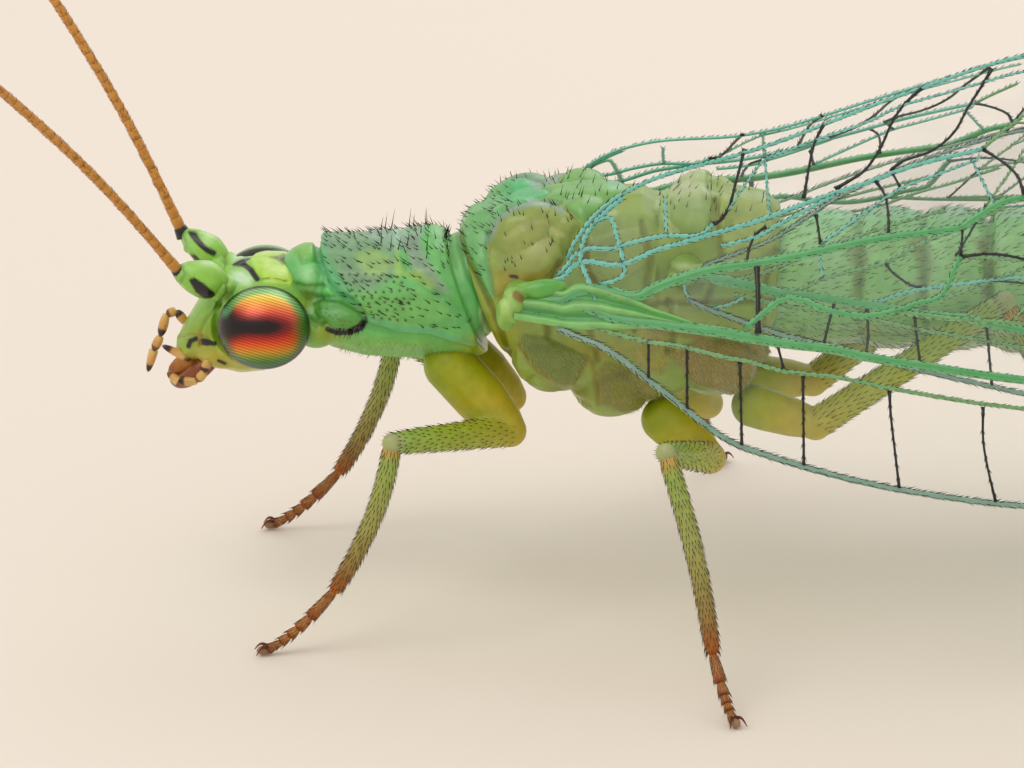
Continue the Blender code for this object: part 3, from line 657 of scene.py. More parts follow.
def eye_material():
    """Rows of facets over coloured bands."""
    material, tree, shader = new_material("faceted_gold_eye")
    tint = add_node(tree, "ShaderNodeAttribute", attribute_name="tint").outputs["Color"]
    rows = add_node(tree, "ShaderNodeAttribute", attribute_name="facet_rows").outputs["Vector"]
    split = add_node(tree, "ShaderNodeSeparateXYZ", [(rows, "Vector")])
    waves = []
    for axis in "XY":
        turn = add_node(
            tree, "ShaderNodeMath", [(split.outputs[axis], 0)], operation="MULTIPLY", s1=2 * math.pi
        )
        waves.append(add_node(tree, "ShaderNodeMath", [(turn.outputs[0], 0)], operation="SINE"))
    dark = add_node(
        tree, "ShaderNodeMapRange", [(waves[0].outputs[0], "Value")],
        From_Min=-1.0, From_Max=0.6, To_Min=0.58, To_Max=1.2,
    )
    shade = add_node(tree, "ShaderNodeVectorMath", [(tint, 0)], operation="SCALE")
    tree.links.new(dark.outputs["Result"], shade.inputs["Scale"])
    tree.links.new(shade.outputs["Vector"], shader.inputs["Base Color"])
    beads = add_node(
        tree, "ShaderNodeMath", [(waves[0].outputs[0], 0), (waves[1].outputs[0], 1)],
        operation="MAXIMUM",
    )
    bump = add_node(
        tree, "ShaderNodeBump", [(beads.outputs[0], "Height")], Strength=0.3, Distance=0.002 * MM
    )
    tree.links.new(bump.outputs["Normal"], shader.inputs["Normal"])
    shader.inputs["Metallic"].default_value = 0.4
    shader.inputs["Roughness"].default_value = 0.38
    shader.inputs["Coat Weight"].default_value = 0.25
    shader.inputs["Coat Roughness"].default_value = 0.2
    return material


faceted = eye_material()
EYE_UPPER = ((0.00, "#070101"), (0.14, "#240405"), (0.25, "#96201f"), (0.37, "#e65a40"),
             (0.50, "#f78e46"), (0.62, "#fdba48"), (0.72, "#ffe05c"), (0.87, "#fff08c"),
             (1.00, "#cfd060"))
EYE_LOWER = ((0.00, "#070101"), (0.13, "#260303"), (0.24, "#981404"), (0.37, "#dc3e08"),
             (0.50, "#e27618"), (0.60, "#d09824"), (0.71, "#8c982a"), (0.83, "#38782a"),
             (1.00, "#14301c"))
print("eye material")


# %% Eyes
def banded(table, at):
    """Colours read from (place, hex colour) rows."""
    places, colours = zip(*table)
    colours = np.array([linear(c) for c in colours])
    return np.column_stack([np.interp(at, places, colours[:, k]) for k in range(3)])


def mix(tint, colour, share):
    """Blends a colour into a tint by a share for each point."""
    return tint + (np.array(linear(colour)) - tint) * np.clip(share, 0, 1)[:, None]


def build_eye(side):
    """A domed eye inside the frame's one, with its bands of colour."""
    sign = 1 if side == "left" else -1
    bpy.ops.object.select_all(action="DESELECT")
    bpy.ops.mesh.primitive_uv_sphere_add(segments=144, ring_count=72, radius=1.0)
    eye = bpy.context.object
    eye.name = f"eye_{side}_dome"
    middle = Vector((0.62 * sign, 0, EYE_HEIGHT))
    eye.data.transform(Matrix.Translation(middle) @ Matrix.Diagonal((0.418, 0.464, 0.418, 1)))
    bpy.ops.object.mode_set(mode="EDIT")
    bpy.ops.mesh.select_all(action="SELECT")
    inner = (-sign, 0, 0)
    bpy.ops.mesh.bisect(
        plane_co=middle + Vector(inner) * 0.34, plane_no=inner, use_fill=True, clear_outer=True
    )
    bpy.ops.object.mode_set(mode="OBJECT")
    bpy.ops.object.shade_smooth()
    points, _ = vertex_arrays(eye)
    offset = points - np.array(middle)
    offset[:, 0] *= sign
    along = offset[:, 1] / 0.464
    up = offset @ np.array(UP) / 0.418
    away = offset @ np.array(BACK)
    rim = np.hypot(along, up)
    spread = 0.42 * np.clip(along - 0.02, 0, None) + 0.10 * np.clip(-along, 0, None)
    level = np.hypot(spread, up)
    tint = np.where(up[:, None] > 0, banded(EYE_UPPER, level), banded(EYE_LOWER, level))
    tint = mix(tint, "#0b0505", ease((-along - 0.26) / 0.46) * ease(1.4 - np.abs(up - 0.08) / 0.40))
    tint = mix(tint, "#1c1406", ease((-along - 0.52) / 0.34) * 0.85)
    tint = mix(tint, "#3c8030", ease((along - 0.55) / 0.36) * ease(1.4 - np.abs(up + 0.05) / 0.6))
    tint = mix(tint, "#58c07a", ease((rim - 0.74) / 0.12) * ease((up - 0.15) / 0.3) * 0.8)
    tint = mix(tint, "#2c7a3a", ease((rim - 0.78) / 0.14) * ease((-up - 0.1) / 0.3) * 0.7)
    tint = mix(tint, "#07110c", ease((rim - 0.90) / 0.08))
    tint = mix(tint, "#0a120e", ease(-away / 0.02 + 0.2))
    give_tint(eye.data, tint)
    slant = math.radians(17)
    rows = along * 0.464 * math.sin(slant) + up * 0.418 * math.cos(slant)
    cross = along * 0.464 * math.cos(slant - 1.05) + up * 0.418 * math.sin(slant - 1.05)
    counts = np.column_stack((rows, cross, np.zeros(len(rows)))) / FACET_ROW
    layer = eye.data.attributes.new("facet_rows", "FLOAT_VECTOR", "POINT")
    layer.data.foreach_set("vector", counts.ravel())
    return settle(eye, faceted, [f"eye_{side}"])


for side in SIDES:
    build_eye(side)

# %% [markdown]
# ## Feelers
# Each feeler has a fat green first joint with a dark stripe, a short ringed second joint, and
# an amber whip of about a hundred short rings with fine bristles. The whips follow the course
# that the frame's own were laid out on.

# %% Feeler courses
SCAPE_BASE = (0.35, -0.44, 0.37)
SCAPE_TIPS = {"left": (0.47, -0.84, 0.53), "right": (0.50, -0.84, 0.62)}
WHIP_LENGTH, WHIP_STEPS, WHIP_START = 12.6, 22, 0.212
WHIP_COURSE = {
    "left": {"outward": (33, 6.8), "climb": (49, 14)},
    "right": {"outward": (8, 36), "climb": (62, 20)},
}
WHIP_BEND = {"left": 0.16 * np.array(UP), "right": np.array((0, 0.15, 0))}
RING_LENGTH = 0.115


def sign_of(side):
    return 1 if side == "left" else -1


def beside_eyes(point, side):
    """A point given by its height over the eyes, on one side of the head."""
    return np.array((point[0] * sign_of(side), point[1], point[2] + EYE_HEIGHT))


def smooth_through(points, steps_between):
    """A smooth curve through points, in as many steps from each to the next as asked for."""
    points = np.array(points, float)
    padded = np.vstack((2 * points[0] - points[1], points, 2 * points[-1] - points[-2]))
    fine = []
    for k in range(1, len(padded) - 2):
        a, b, c, d = padded[k - 1:k + 3]
        steps = steps_between(b, c)
        t = (np.arange(steps) / steps)[:, None]
        fine.append(0.5 * (2 * b + (c - a) * t + (2 * a - 5 * b + 4 * c - d) * t ** 2
                           + (3 * b - a - 3 * c + d) * t ** 3))
    return np.vstack((*fine, points[-1]))


def along_curve(points, spacing):
    """Points evenly spaced on a smooth curve through some others."""
    fine = smooth_through(points, lambda b, c: 12)
    reach = np.concatenate(((0,), np.cumsum(np.linalg.norm(np.diff(fine, axis=0), axis=1))))
    at = np.linspace(0, reach[-1], max(2, int(round(reach[-1] / spacing)) + 1))
    return np.column_stack([np.interp(at, reach, fine[:, k]) for k in range(fine.shape[1])])


def whip_path(side, tip):
    """A whip's path from the end of its scape, in steps of one ring."""
    course = WHIP_COURSE[side]

    def heading(share):
        outward, climb = (
            math.radians(a + (b - a) * share) for a, b in (course["outward"], course["climb"])
        )
        flat = math.cos(climb)
        return np.array((
            math.sin(outward) * sign_of(side) * flat, -math.cos(outward) * flat, math.sin(climb)
        ))

    place = tip + heading(0) * WHIP_START
    path = [tip - heading(0) * 0.05, place]
    for k in range(WHIP_STEPS):
        place = place + heading(k / WHIP_STEPS) * WHIP_LENGTH / WHIP_STEPS
        path.append(place)
    path = along_curve(path, RING_LENGTH)
    bend = np.interp(np.linspace(0, 1, len(path)), (0, 0.12, 0.23, 0.40, 0.75, 1),
                     (0, 0.62, 1, 0.86, 0.25, 0))
    return path + bend[:, None] * WHIP_BEND[side]


# %% Feelers
def build_scape(side):
    """The fat first joint: a sphere drawn out along its axis, narrow at its tip, with a stripe."""
    base, tip = beside_eyes(SCAPE_BASE, side), beside_eyes(SCAPE_TIPS[side], side)
    span = tip - base
    bpy.ops.object.select_all(action="DESELECT")
    bpy.ops.mesh.primitive_uv_sphere_add(segments=64, ring_count=40, radius=1.0)
    scape = bpy.context.object
    scape.name = f"scape_{side}"
    points, _ = vertex_arrays(scape)
    share = (points[:, 2] + 1) / 2
    thick = 0.190 if side == "left" else 0.165
    bulge = thick * np.interp(share, (0, 0.45, 0.8, 1), (0.86, 1.04, 0.86, 0.66))
    axis = span / np.linalg.norm(span)
    across = np.cross(axis, (0, 0, 1.0))
    across /= np.linalg.norm(across)
    other = np.cross(across, axis)
    reach = -0.10 + 0.62 * share - 0.02 * np.sin(np.pi * share)
    points = (
        base + axis * reach[:, None]
        + across * (points[:, 0] * bulge)[:, None] + other * (points[:, 1] * bulge)[:, None]
    )
    move_to(scape, points)
    bpy.ops.object.shade_smooth()
    middle = in_picture(np.array([base + span * 0.5]))[0]
    u, v = middle
    stripe = [(u - 11, v + 2), (u - 6, v - 1), (u + 5, v + 6), (u + 15, v + 15), (u + 18, v + 25),
              (u + 8, v + 23), (u - 4, v + 14)]
    marks = [("#5f9a4a", 0.6, 1.0, 2.5, (u - 18, v - 14), (u - 14, v - 4), (u - 19, v + 4))]
    if side == "right":
        folded = in_picture(np.array([base + span * 0.15, base + span * 0.9]) + axis * 0.01)
        marks.append(("#0d0805", 1.0, 1.4, 1.8, *[(a, b - 11) for a, b in folded]))
    paint(
        scape, "#96cc58",
        washes=(
            # Painted highlight: this palest wash, on the top of the joint, stands in for light on
            # its shine.
            ("#cdeeb4", 0.7, (u + 8, v - 16), (9, 5)),
            ("#86bc40", 0.8, (u - 2, v + 16), (14, 8)),
            ("#b4e08c", 0.6, (u - 14, v - 8), (9, 6)),
        ),
        patches=(("#0d0805", 1.0, 2, *stripe),), strokes=marks,
    )
    press(scape, ((-0.02, 1.8, (u - 16, v - 12), (u - 12, v - 3), (u - 17, v + 5)),))
    return settle(scape, green_shell, [f"antenna_scape_{side}"])


def build_whip(side):
    """The pedicel and the ringed whip, with fine bristles lying forward on every ring."""
    bundle, coat = Bundle(), Bundle()
    path = whip_path(side, beside_eyes(SCAPE_TIPS[side], side))
    steps = len(path)
    knots, sizes, shades = [], [], []
    amber, ring, pale, black = (
        np.array(linear(c)) for c in ("#c48c3c", "#94642c", "#cda468", "#140c06")
    )

    def thickness(share):
        return 0.049 * (1 - share) ** 0.6 * 0.25 + 0.037

    for k in range(steps - 1):
        share = k / steps
        shade = amber + (pale - amber) * min(1, share * 1.4) * 0.5
        for part, grow, dark in (
            (0.0, 0.93, 0.8), (0.10, 0.98, 0.2), (0.5, 1.02, 0), (0.9, 1.0, 0)
        ):
            size = thickness(share) * grow
            colour = shade + (ring - shade) * dark
            if k < 1:
                size, colour = 0.083 - 0.02 * part, black
            elif k < 4:
                size *= 1.28 - 0.08 * k
            knots.append(path[k] + (path[k + 1] - path[k]) * part)
            sizes.append(size)
            shades.append(colour)
    sides = 10
    points, faces = rod(knots, np.array(sizes), sides)
    tint = np.vstack((np.repeat(shades, sides, 0), shades[0], shades[-1]))
    bundle.add(points, faces, tint)
    count = 22
    along = np.repeat(np.arange(2, steps - 2), count) + chance.uniform(0, 1, (steps - 4) * count)
    step = along.astype(int)
    spine = path[step] + (path[step + 1] - path[step]) * (along - step)[:, None]
    heading = (path[step + 1] - path[step]) / RING_LENGTH
    swing = chance.normal(size=spine.shape)
    swing -= heading * np.sum(swing * heading, 1)[:, None]
    swing /= np.linalg.norm(swing, axis=1)[:, None]
    size = thickness(along / steps)
    angle = np.arctan2(swing[:, 0], swing[:, 2]) / (2 * np.pi) + 0.5
    bristles(
        coat, spine + swing * size[:, None] * 0.96, heading * 0.95 + swing * 0.32,
        chance.uniform(0.032, 0.052, len(spine)), 0.003, linear("#8a5a24"),
        np.column_stack((along / steps, angle)),
    )
    whip = bundle.piece(f"feeler_{side}")
    settle(whip, horn_shell, [f"antenna_base_{side}", f"antenna_tip_{side}"])
    settle(coat.piece(f"feeler_{side}_bristles", False), bristle_shell, ())


for side in SIDES:
    build_scape(side)
    build_whip(side)

# %% [markdown]
# ## Mouthparts
# Below the face hang an amber upper lip, dark-tipped jaws, and jointed palps banded with black.
# The far palp is raised before the face, and the near one is tucked under the mouth.

# %% Mouth
PALPS = {
    "left": (
        ((0.14, -0.60, -0.40), (0.33, -0.57, -0.44), (0.35, -0.60, -0.57), (0.31, -0.68, -0.68),
         (0.27, -0.87, -0.70), (0.22, -0.98, -0.62)),
        ((0.08, -0.72, -0.52), (0.20, -0.80, -0.46), (0.20, -1.03, -0.34)),
    ),
    "right": (
        ((0.10, -0.66, -0.50), (0.30, -0.80, -0.28), (0.31, -0.90, -0.15), (0.30, -1.00, -0.19),
         (0.29, -1.06, -0.42), (0.29, -1.13, -0.57), (0.29, -1.19, -0.80)),
        ((0.10, -0.66, -0.60), (0.24, -0.70, -0.72), (0.22, -0.86, -0.78)),
    ),
}


def tapered(bundle, path, radii, tone, sides=16):
    """One smooth rod with a tone for each of its rings."""
    points, faces = rod(path, radii, sides)
    tone = np.broadcast_to(tone, (len(path), 3))
    bundle.add(points, faces, np.vstack((np.repeat(tone, sides, 0), tone[0], tone[-1])))


def build_mouth():
    """The lip, the jaws and the jointed palps in one piece."""
    bundle = Bundle()
    amber, dark, pale, brown = (
        np.array(linear(c)) for c in ("#c98a3c", "#1c0f07", "#dcb878", "#8a4c1c")
    )
    lip = along_curve(((0, -0.60, 2.56), (0, -0.78, 2.46), (0, -0.97, 2.36)), 0.03)
    share = np.linspace(0, 1, len(lip))
    tapered(bundle, lip, 0.135 * np.sqrt(1.02 - share ** 2), mix(
        np.tile(amber, (len(lip), 1)), "#8a4c1c", ease((share - 0.5) * 2)
    ), 24)
    for side in SIDES:
        jaw = along_curve([beside_eyes(p, side) for p in (
            (0.16, -0.55, -0.50), (0.22, -0.68, -0.62), (0.16, -0.84, -0.74), (0.03, -0.95, -0.76)
        )], 0.03)
        share = np.linspace(0, 1, len(jaw))
        tapered(bundle, jaw, 0.10 * np.sqrt(1.02 - share ** 2), brown + (dark - brown) * (
            ease((share - 0.7) * 4)[:, None]
        ))
        for joints in PALPS[side]:
            joints = [beside_eyes(p, side) for p in joints]
            for k, (start, end) in enumerate(zip(joints, joints[1:])):
                share = np.linspace(0, 1, 13)
                path = start + (end - start) * share[:, None]
                width = 0.034 + 0.012 * np.sin(np.pi * share ** 0.8) + 0.008 * share
                width *= np.sqrt(np.clip(1.03 - share ** 6, 0.1, 1))
                if k == len(joints) - 2:
                    width = 0.048 * np.sqrt(np.clip(1.02 - share ** 2, 0.02, 1))
                band = np.clip((share - 0.58) / 0.1, 0, 1) * np.clip((1.0 - share) / 0.08, 0, 1)
                tone = pale + (amber - pale) * share[:, None]
                tone = tone + (dark - tone) * (band[:, None] * (0.95 if k % 2 else 0.75))
                tapered(bundle, path, width, tone, 12)
    return settle(bundle.piece("mouth_parts"), horn_shell, ["mouthparts"])


build_mouth()

# %% [markdown]
# ## Neck and front of the thorax
# A soft pleated neck joins the head to a long saddle. The saddle's shield has a turquoise rim, a
# smoky purple cloud on its front, yellow islands, and black bristles, each on a tiny dark dot.
# Its side hangs over as a blue-green fold, and a rounded lobe with a black crescent sits in
# front of that, behind the eye.

# %% Neck and saddle skin
SIDE_LOBE = ((314, 304), (322, 300), (340, 302), (355, 310), (365, 320), (362, 327), (350, 331),
             (335, 330), (325, 323), (315, 313))
FOLD = ((365, 320), (380, 325), (402, 331), (430, 333), (450, 340), (472, 346))
FLAP = ((480, 298), (490, 300), (502, 327), (510, 345), (507, 352), (495, 348), (482, 330),
        (479, 315))
SADDLE_REAR = ((454, 226), (456, 247), (465, 275), (475, 295), (481, 311), (478, 330), (474, 346))
saddle = copy_solids("neck_and_saddle", ["neck", "prothorax"])
fuse(saddle, eggs((
    ((0.0, 0.44, 3.36), (0.42, 0.30, 0.36), 0),
    ((0.34, 0.46, 3.45), (0.14, 0.13, 0.13), 0),
    ((0.36, 0.52, 3.02), (0.24, 0.26, 0.26), 0),
    ((0.0, 0.62, 3.22), (0.50, 0.30, 0.50), 0),
    ((0.52, 0.78, 3.15), (0.18, 0.26, 0.16), 0),
    ((0.0, 2.02, 3.26), (0.64, 0.34, 0.59), 0),
)), 0.015, 10)
press(
    saddle,
    strokes=(
        (-0.035, 3, (298, 256), (301, 262), (320, 258)),
        (-0.035, 3, (296, 285), (306, 288), (322, 286)),
        (-0.045, 3, (316, 240), (318, 256), (325, 281), (338, 294), (352, 300)),
        (0.020, 3, (322, 240), (325, 256), (332, 276), (346, 290), (362, 300)),
        (-0.040, 3, *SIDE_LOBE[6:9], (318, 326), (310, 320)),
        (-0.040, 3, (316, 298), (340, 298), (358, 307), (368, 318)),
        (-0.040, 3.5, *[(u, v + 5) for u, v in FOLD]),
        (0.022, 3.0, *[(u, v - 2) for u, v in FOLD]),
        (-0.026, 4, (399, 228), (401, 250), (408, 270), (424, 284), (442, 296)),
        (-0.012, 4, *[(u + 4, v) for u, v in SADDLE_REAR]),
        (-0.02, 4, (372, 348), (400, 352), (430, 352)),
    ),
    cushions=((0.03, 7, *SIDE_LOBE), (0.03, 5, *FLAP)),
)
print("saddle", len(saddle.data.vertices), "points")

# %% Saddle colours
DOTS = [
    (u + 2.6 * math.sin(1.7 * v), v + 2.2 * math.sin(2.3 * u))
    for v in range(276, 322, 7)
    for u in range(int(340 + (v - 268) * 0.5), int(412 - (322 - v) * 0.1), 8)
]
paint(
    saddle, "#6fc474",
    washes=(
        ("#7cbc70", 0.9, (452, 250), (26, 34)),
        ("#66a858", 0.7, (440, 305), (26, 20)),
        ("#72a848", 0.8, (385, 312), (44, 12)),
        ("#86c452", 0.8, (390, 347), (70, 12)),
        ("#9cb030", 0.9, (325, 334), (22, 14)),
        ("#a2da9c", 0.9, (308, 274), (10, 10)),
        ("#90a836", 0.8, (306, 300), (12, 14)),
        ("#8cc05a", 0.8, (305, 250), (14, 10)),
        ("#a8b42c", 0.9, (478, 348), (22, 12)),
        ("#6aa850", 0.6, (440, 350), (20, 8)),
    ),
    patches=(
        ("#62b084", 0.65, 7, (314, 238), (324, 230), (332, 236), (330, 262), (342, 280), (366, 301),
         (360, 306), (342, 296), (325, 283), (317, 258)),
        ("#8c9c8c", 0.62, 14, (328, 232), (392, 232), (398, 262), (392, 276), (376, 290),
         (362, 296), (346, 284), (331, 262), (323, 246)),
        ("#98b8a4", 0.75, 12, (362, 226), (424, 228), (416, 250), (392, 248), (370, 240)),
        ("#8f9a90", 0.7, 8, (402, 238), (418, 232), (421, 246), (428, 262), (440, 280), (452, 293),
         (440, 292), (427, 281), (414, 272), (407, 256)),
        ("#9cc46c", 0.7, 9, (356, 252), (375, 249), (388, 255), (390, 268), (382, 278), (366, 273),
         (355, 263)),
        ("#a4c868", 0.7, 7, (397, 246), (401, 262), (404, 270), (420, 270), (436, 285), (430, 289),
         (414, 281), (404, 275), (396, 281), (393, 265)),
        ("#7cc26c", 0.8, 10, (345, 288), (372, 292), (395, 284), (416, 288), (440, 300), (452, 318),
         (430, 330), (400, 328), (370, 318)),
        ("#5ca048", 0.95, 4, *SIDE_LOBE),
        ("#7cc080", 0.6, 6, (322, 304), (338, 306), (350, 314), (336, 320), (322, 314)),
        ("#62ae84", 0.7, 5, *FOLD, *[(u, v - 5) for u, v in FOLD[::-1]]),
        ("#a8c880", 0.9, 5, *FLAP),
    ),
    strokes=(
        ("#120c06", 1.0, 1.8, 1.4, (327.5, 329), (337.5, 333), (350, 332)),
        ("#120c06", 1.0, 2.8, 1.4, (350, 331.5), (360, 327.5), (364.5, 321)),
        ("#3e7a3a", 0.6, 0.8, 2, *SIDE_LOBE[:5]),
        ("#4a8a4a", 0.5, 1.2, 3, *[(u + 3, v) for u, v in SADDLE_REAR]),
        *[("#4a4a2a", 0.9, 0.8, 1.3, dot) for dot in DOTS],
        *[("#7a5a3a", 0.8, 0.5, 1.2, dot) for dot in (
            (327, 309), (326, 313), (329, 316), (333, 318), (336, 315), (338, 319), (341, 320),
            (345, 321), (320, 309), (343, 325), (350, 322))],
    ),
)

# %% [markdown]
# ### Bristles of the saddle
# Black bristles stand on the shield, long ones along its top, and lean towards the head. A
# bristle is a three-sided spike. They are joined into one coat, and a map called OFBake gives
# each a small patch at its root's place, so that it can take its colour from the skin there.

# %% Saddle bristles
FORWARD = (0.0, -0.8, 0.5)
DARK_BRISTLE = "#14120e"
# rows: outline, spacing, sweep, stand, length, width, colour
SADDLE_COATS = (
    (((323, 228), (450, 228), (452, 250), (441, 296), (470, 322), (452, 332), (372, 320),
      (341, 293), (326, 262)), 0.115, FORWARD, 0.6, 0.085, 0.0068, DARK_BRISTLE),
    (((324, 222), (452, 222), (450, 240), (326, 240)),
     0.20, (0.0, -0.5, 0.9), 1.2, 0.11, 0.0064, DARK_BRISTLE),
    (((374, 222), (424, 222), (428, 262), (412, 268), (372, 244)),
     0.27, (0.1, 0.2, 1.0), 1.5, 0.19, 0.0070, "#0e0c0a"),
    (((330, 328), (352, 328), (366, 318), (366, 330), (340, 336)),
     0.05, (0.3, -0.3, -1.0), 0.8, 0.07, 0.006, DARK_BRISTLE),
    (((340, 336), (470, 350), (470, 372), (340, 360)),
     0.06, (0.0, -0.4, -1.0), 0.7, 0.05, 0.004, "#9fb878"),
)
coat = Bundle()
for outline, *habit in SADDLE_COATS:
    body_bristles(coat, saddle, outline, *habit)
settle(coat.piece("saddle_bristles", False), bristle_shell, ())
settle(saddle, green_shell, ["neck", "prothorax"])

# %% [markdown]
# ## Wing-bearing segments
# The middle and hind segments of the thorax are big muscle boxes. From the side they look like a
# heap of smooth yellow-green cushions with dark seams between them, under a turquoise roof. The
# cushions are raised inside outlines that follow their seams.

# %% Thorax skin
COLLAR = ((455, 229), (460, 221), (477, 201), (499, 198), (516, 204), (503, 212), (491, 232),
          (487, 247), (490, 270), (495, 300), (483, 291), (467, 261))
TOP_LOBE = ((486, 197), (505, 183), (526, 181), (559, 181), (547, 196), (530, 201), (516, 204),
            (499, 199))
SCUTAL_LOBE = ((490, 237), (499, 218), (515, 207), (534, 202), (553, 204), (572, 215), (579, 224),
               (570, 239), (562, 264), (540, 284), (515, 294), (496, 296), (489, 265))
BACK_LOBE = ((542, 200), (559, 187), (580, 173), (607, 167), (629, 176), (633, 185), (607, 204),
             (582, 222), (564, 204))
HIND_LOBE = ((662, 181), (700, 176), (714, 200), (705, 235), (668, 238), (653, 210))
LOW_FRONT = ((519, 345), (521, 334), (545, 337), (588, 357), (574, 384), (560, 386), (536, 370))
LOW_REAR = ((596, 374), (606, 361), (648, 376), (664, 392), (648, 408), (625, 414), (599, 404))
REAR_SIDE = ((668, 352), (700, 338), (760, 344), (800, 366), (790, 392), (740, 398), (694, 384))
MID_SIDE = ((640, 322), (664, 332), (672, 356), (660, 376), (634, 360))
UPPER_REAR = ((590, 238), (640, 226), (650, 262), (620, 282), (584, 276))
BOX = ((720, 190), (770, 200), (776, 250), (730, 268), (712, 236))
LEAF = ((700, 284), (760, 286), (796, 300), (786, 322), (730, 318), (702, 304))
THORAX_CUSHIONS = (
    (0.035, 8, COLLAR, "#74b878"), (0.04, 8, TOP_LOBE, "#62bc80"),
    (0.06, 12, SCUTAL_LOBE, "#96a85c"), (0.05, 10, BACK_LOBE, "#7fb86e"),
    (0.05, 9, HIND_LOBE, "#a0ba74"), (0.035, 8, LOW_FRONT, "#7a8a3e"),
    (0.035, 9, LOW_REAR, "#8c8a3e"), (0.05, 12, REAR_SIDE, "#948034"),
    (0.04, 8, MID_SIDE, "#a09a34"), (0.04, 10, UPPER_REAR, "#9cae62"),
    (0.04, 9, BOX, "#a6b862"), (0.03, 7, LEAF, "#8fae4a"),
)
thorax = copy_solids("thorax_skin", ["mesothorax", "metathorax"])
fuse(thorax, eggs((
    ((0.0, 3.98, 3.30), (0.66, 0.6, 0.92), 0),
    ((0.42, 2.85, 3.62), (0.42, 0.52, 0.46), 6),
    ((0.30, 3.45, 3.86), (0.34, 0.42, 0.34), 0),
    ((0.30, 4.00, 3.70), (0.34, 0.42, 0.36), 0),
    ((0.60, 3.14, 2.86), (0.26, 0.62, 0.42), -10),
    ((0.50, 3.95, 2.72), (0.26, 0.66, 0.42), -6),
    ((0.46, 4.10, 3.20), (0.30, 0.60, 0.44), 0),
)), 0.020, 9)
press(thorax, cushions=[(height, edge, *outline) for height, edge, outline, _ in THORAX_CUSHIONS])
SEAMS = (
    ((585, 232), (586, 266), (600, 290)), ((642, 222), (652, 260), (644, 300), (634, 330)),
    ((600, 290), (640, 304), (700, 302), (776, 300)), ((716, 200), (722, 262), (706, 300)),
    ((596, 294), (590, 330), (598, 360)), ((668, 300), (676, 330), (668, 352)),
    ((560, 262), (545, 292), (548, 334)), ((776, 250), (760, 300), (768, 344)),
)
press(thorax, strokes=[(-0.035, 4, *line) for line in SEAMS])
press(thorax, strokes=(
    (-0.035, 3, (458, 228), (463, 248), (470, 262), (480, 283), (494, 312), (508, 352)),
    (-0.02, 3, (505, 240), (520, 226), (545, 222), (562, 236), (564, 252)),
    (-0.03, 3, (511, 390), (532, 377), (567, 395), (590, 407)),
))

# %% Thorax colours
paint(
    thorax, "#96ae56",
    washes=(
        ("#62b97e", 0.9, (500, 196), (50, 14)),
        ("#66bc9c", 0.8, (600, 172), (80, 10)),
        ("#9a9c2c", 0.8, (500, 330), (22, 34)),
        ("#8aa05a", 0.8, (610, 262), (40, 24)),
        ("#94a048", 0.7, (700, 300), (60, 20)),
        # Painted shade: these two olive-brown washes low on the side darken the thorax's own
        # yellow-green where its underside turns from the light.
        ("#a0962c", 0.7, (600, 350), (50, 12)),
        ("#8e8a34", 0.6, (560, 395), (50, 10)),
    ),
    patches=[(colour, 0.92, 5, *outline) for _, _, outline, colour in THORAX_CUSHIONS] + [
        ("#a8b068", 0.7, 14, (512, 234), (536, 226), (556, 240), (548, 266), (520, 276),
         (508, 256)),
        ("#a4983a", 0.8, 10, (496, 270), (540, 272), (560, 262), (540, 286), (514, 296),
         (496, 296)),
        ("#93c9a6", 0.7, 6, (600, 168), (629, 175), (633, 185), (612, 190), (596, 178)),
        ("#c2c9a0", 0.6, 10, (668, 182), (698, 179), (706, 196), (672, 196)),
    ],
    strokes=(
        ("#6e7418", 0.8, 1.2, 3, (458, 228), (463, 248), (470, 262), (480, 283), (494, 312),
         (508, 352)),
        ("#8aa898", 0.75, 1.6, 3, (489, 240), (498, 219), (515, 208), (534, 202.5), (553, 205),
         (562, 212)),
        ("#8a7a2c", 0.6, 1.0, 3, (592, 362), (594, 374), (598, 404)),
        ("#8a7a2c", 0.6, 1.0, 3, (519, 346), (536, 370), (560, 386), (574, 383), (588, 358)),
        ("#8a6a24", 0.6, 1.6, 5, (640, 320), (668, 332), (700, 336)),
        ("#8a7420", 0.6, 1.6, 5, (585, 236), (586, 270), (600, 290)),
        *[("#77731f", 0.6, 1.0, 4, *line) for line in SEAMS],
        ("#3a2a22", 0.95, 1.1, 1.6, (511, 276), (517, 277)),
        ("#c8c88a", 0.5, 0.8, 3, (505, 238), (520, 225), (545, 221), (562, 235)),
    ),
)

# %% [markdown]
# ### Bristles of the thorax
# Rows of short black bristles follow the front edge of the collar and the roof's cushions, and
# the cushions low on the side carry a silvery down.

# %% Thorax bristles
THORAX_COATS = [
    (((454, 226), (478, 199), (520, 196), (500, 214), (489, 240), (484, 280), (470, 262)),
     0.135, FORWARD, 0.6, 0.075, 0.0062, DARK_BRISTLE),
    (((498, 214), (516, 203), (556, 202), (580, 222), (560, 224), (530, 216), (506, 232)),
     0.17, (0.0, -0.3, 1.0), 0.6, 0.08, 0.0062, DARK_BRISTLE),
    (((500, 232), (560, 224), (552, 250), (504, 276)),
     0.19, (0.0, -0.3, 1.0), 0.5, 0.06, 0.0056, "#1c1812"),
    (((550, 196), (580, 172), (640, 164), (634, 188), (590, 205)),
     0.19, (0.0, 0.25, 1.0), 0.6, 0.10, 0.0062, DARK_BRISTLE),
    (((655, 182), (770, 190), (760, 214), (660, 210)),
     0.18, (0.0, 0.3, 1.0), 0.5, 0.08, 0.0056, "#2a2a20"),
] + [
    (outline, 0.034, (0.1, 0.5, -0.8), 0.7, 0.034, 0.0032, "#b9bd92")
    for outline in (LOW_FRONT, LOW_REAR, REAR_SIDE, MID_SIDE)
]
coat = Bundle()
for outline, *habit in THORAX_COATS:
    body_bristles(coat, thorax, outline, *habit)
settle(coat.piece("thorax_bristles", False), bristle_shell, ())
settle(thorax, green_shell, ["mesothorax", "metathorax"])

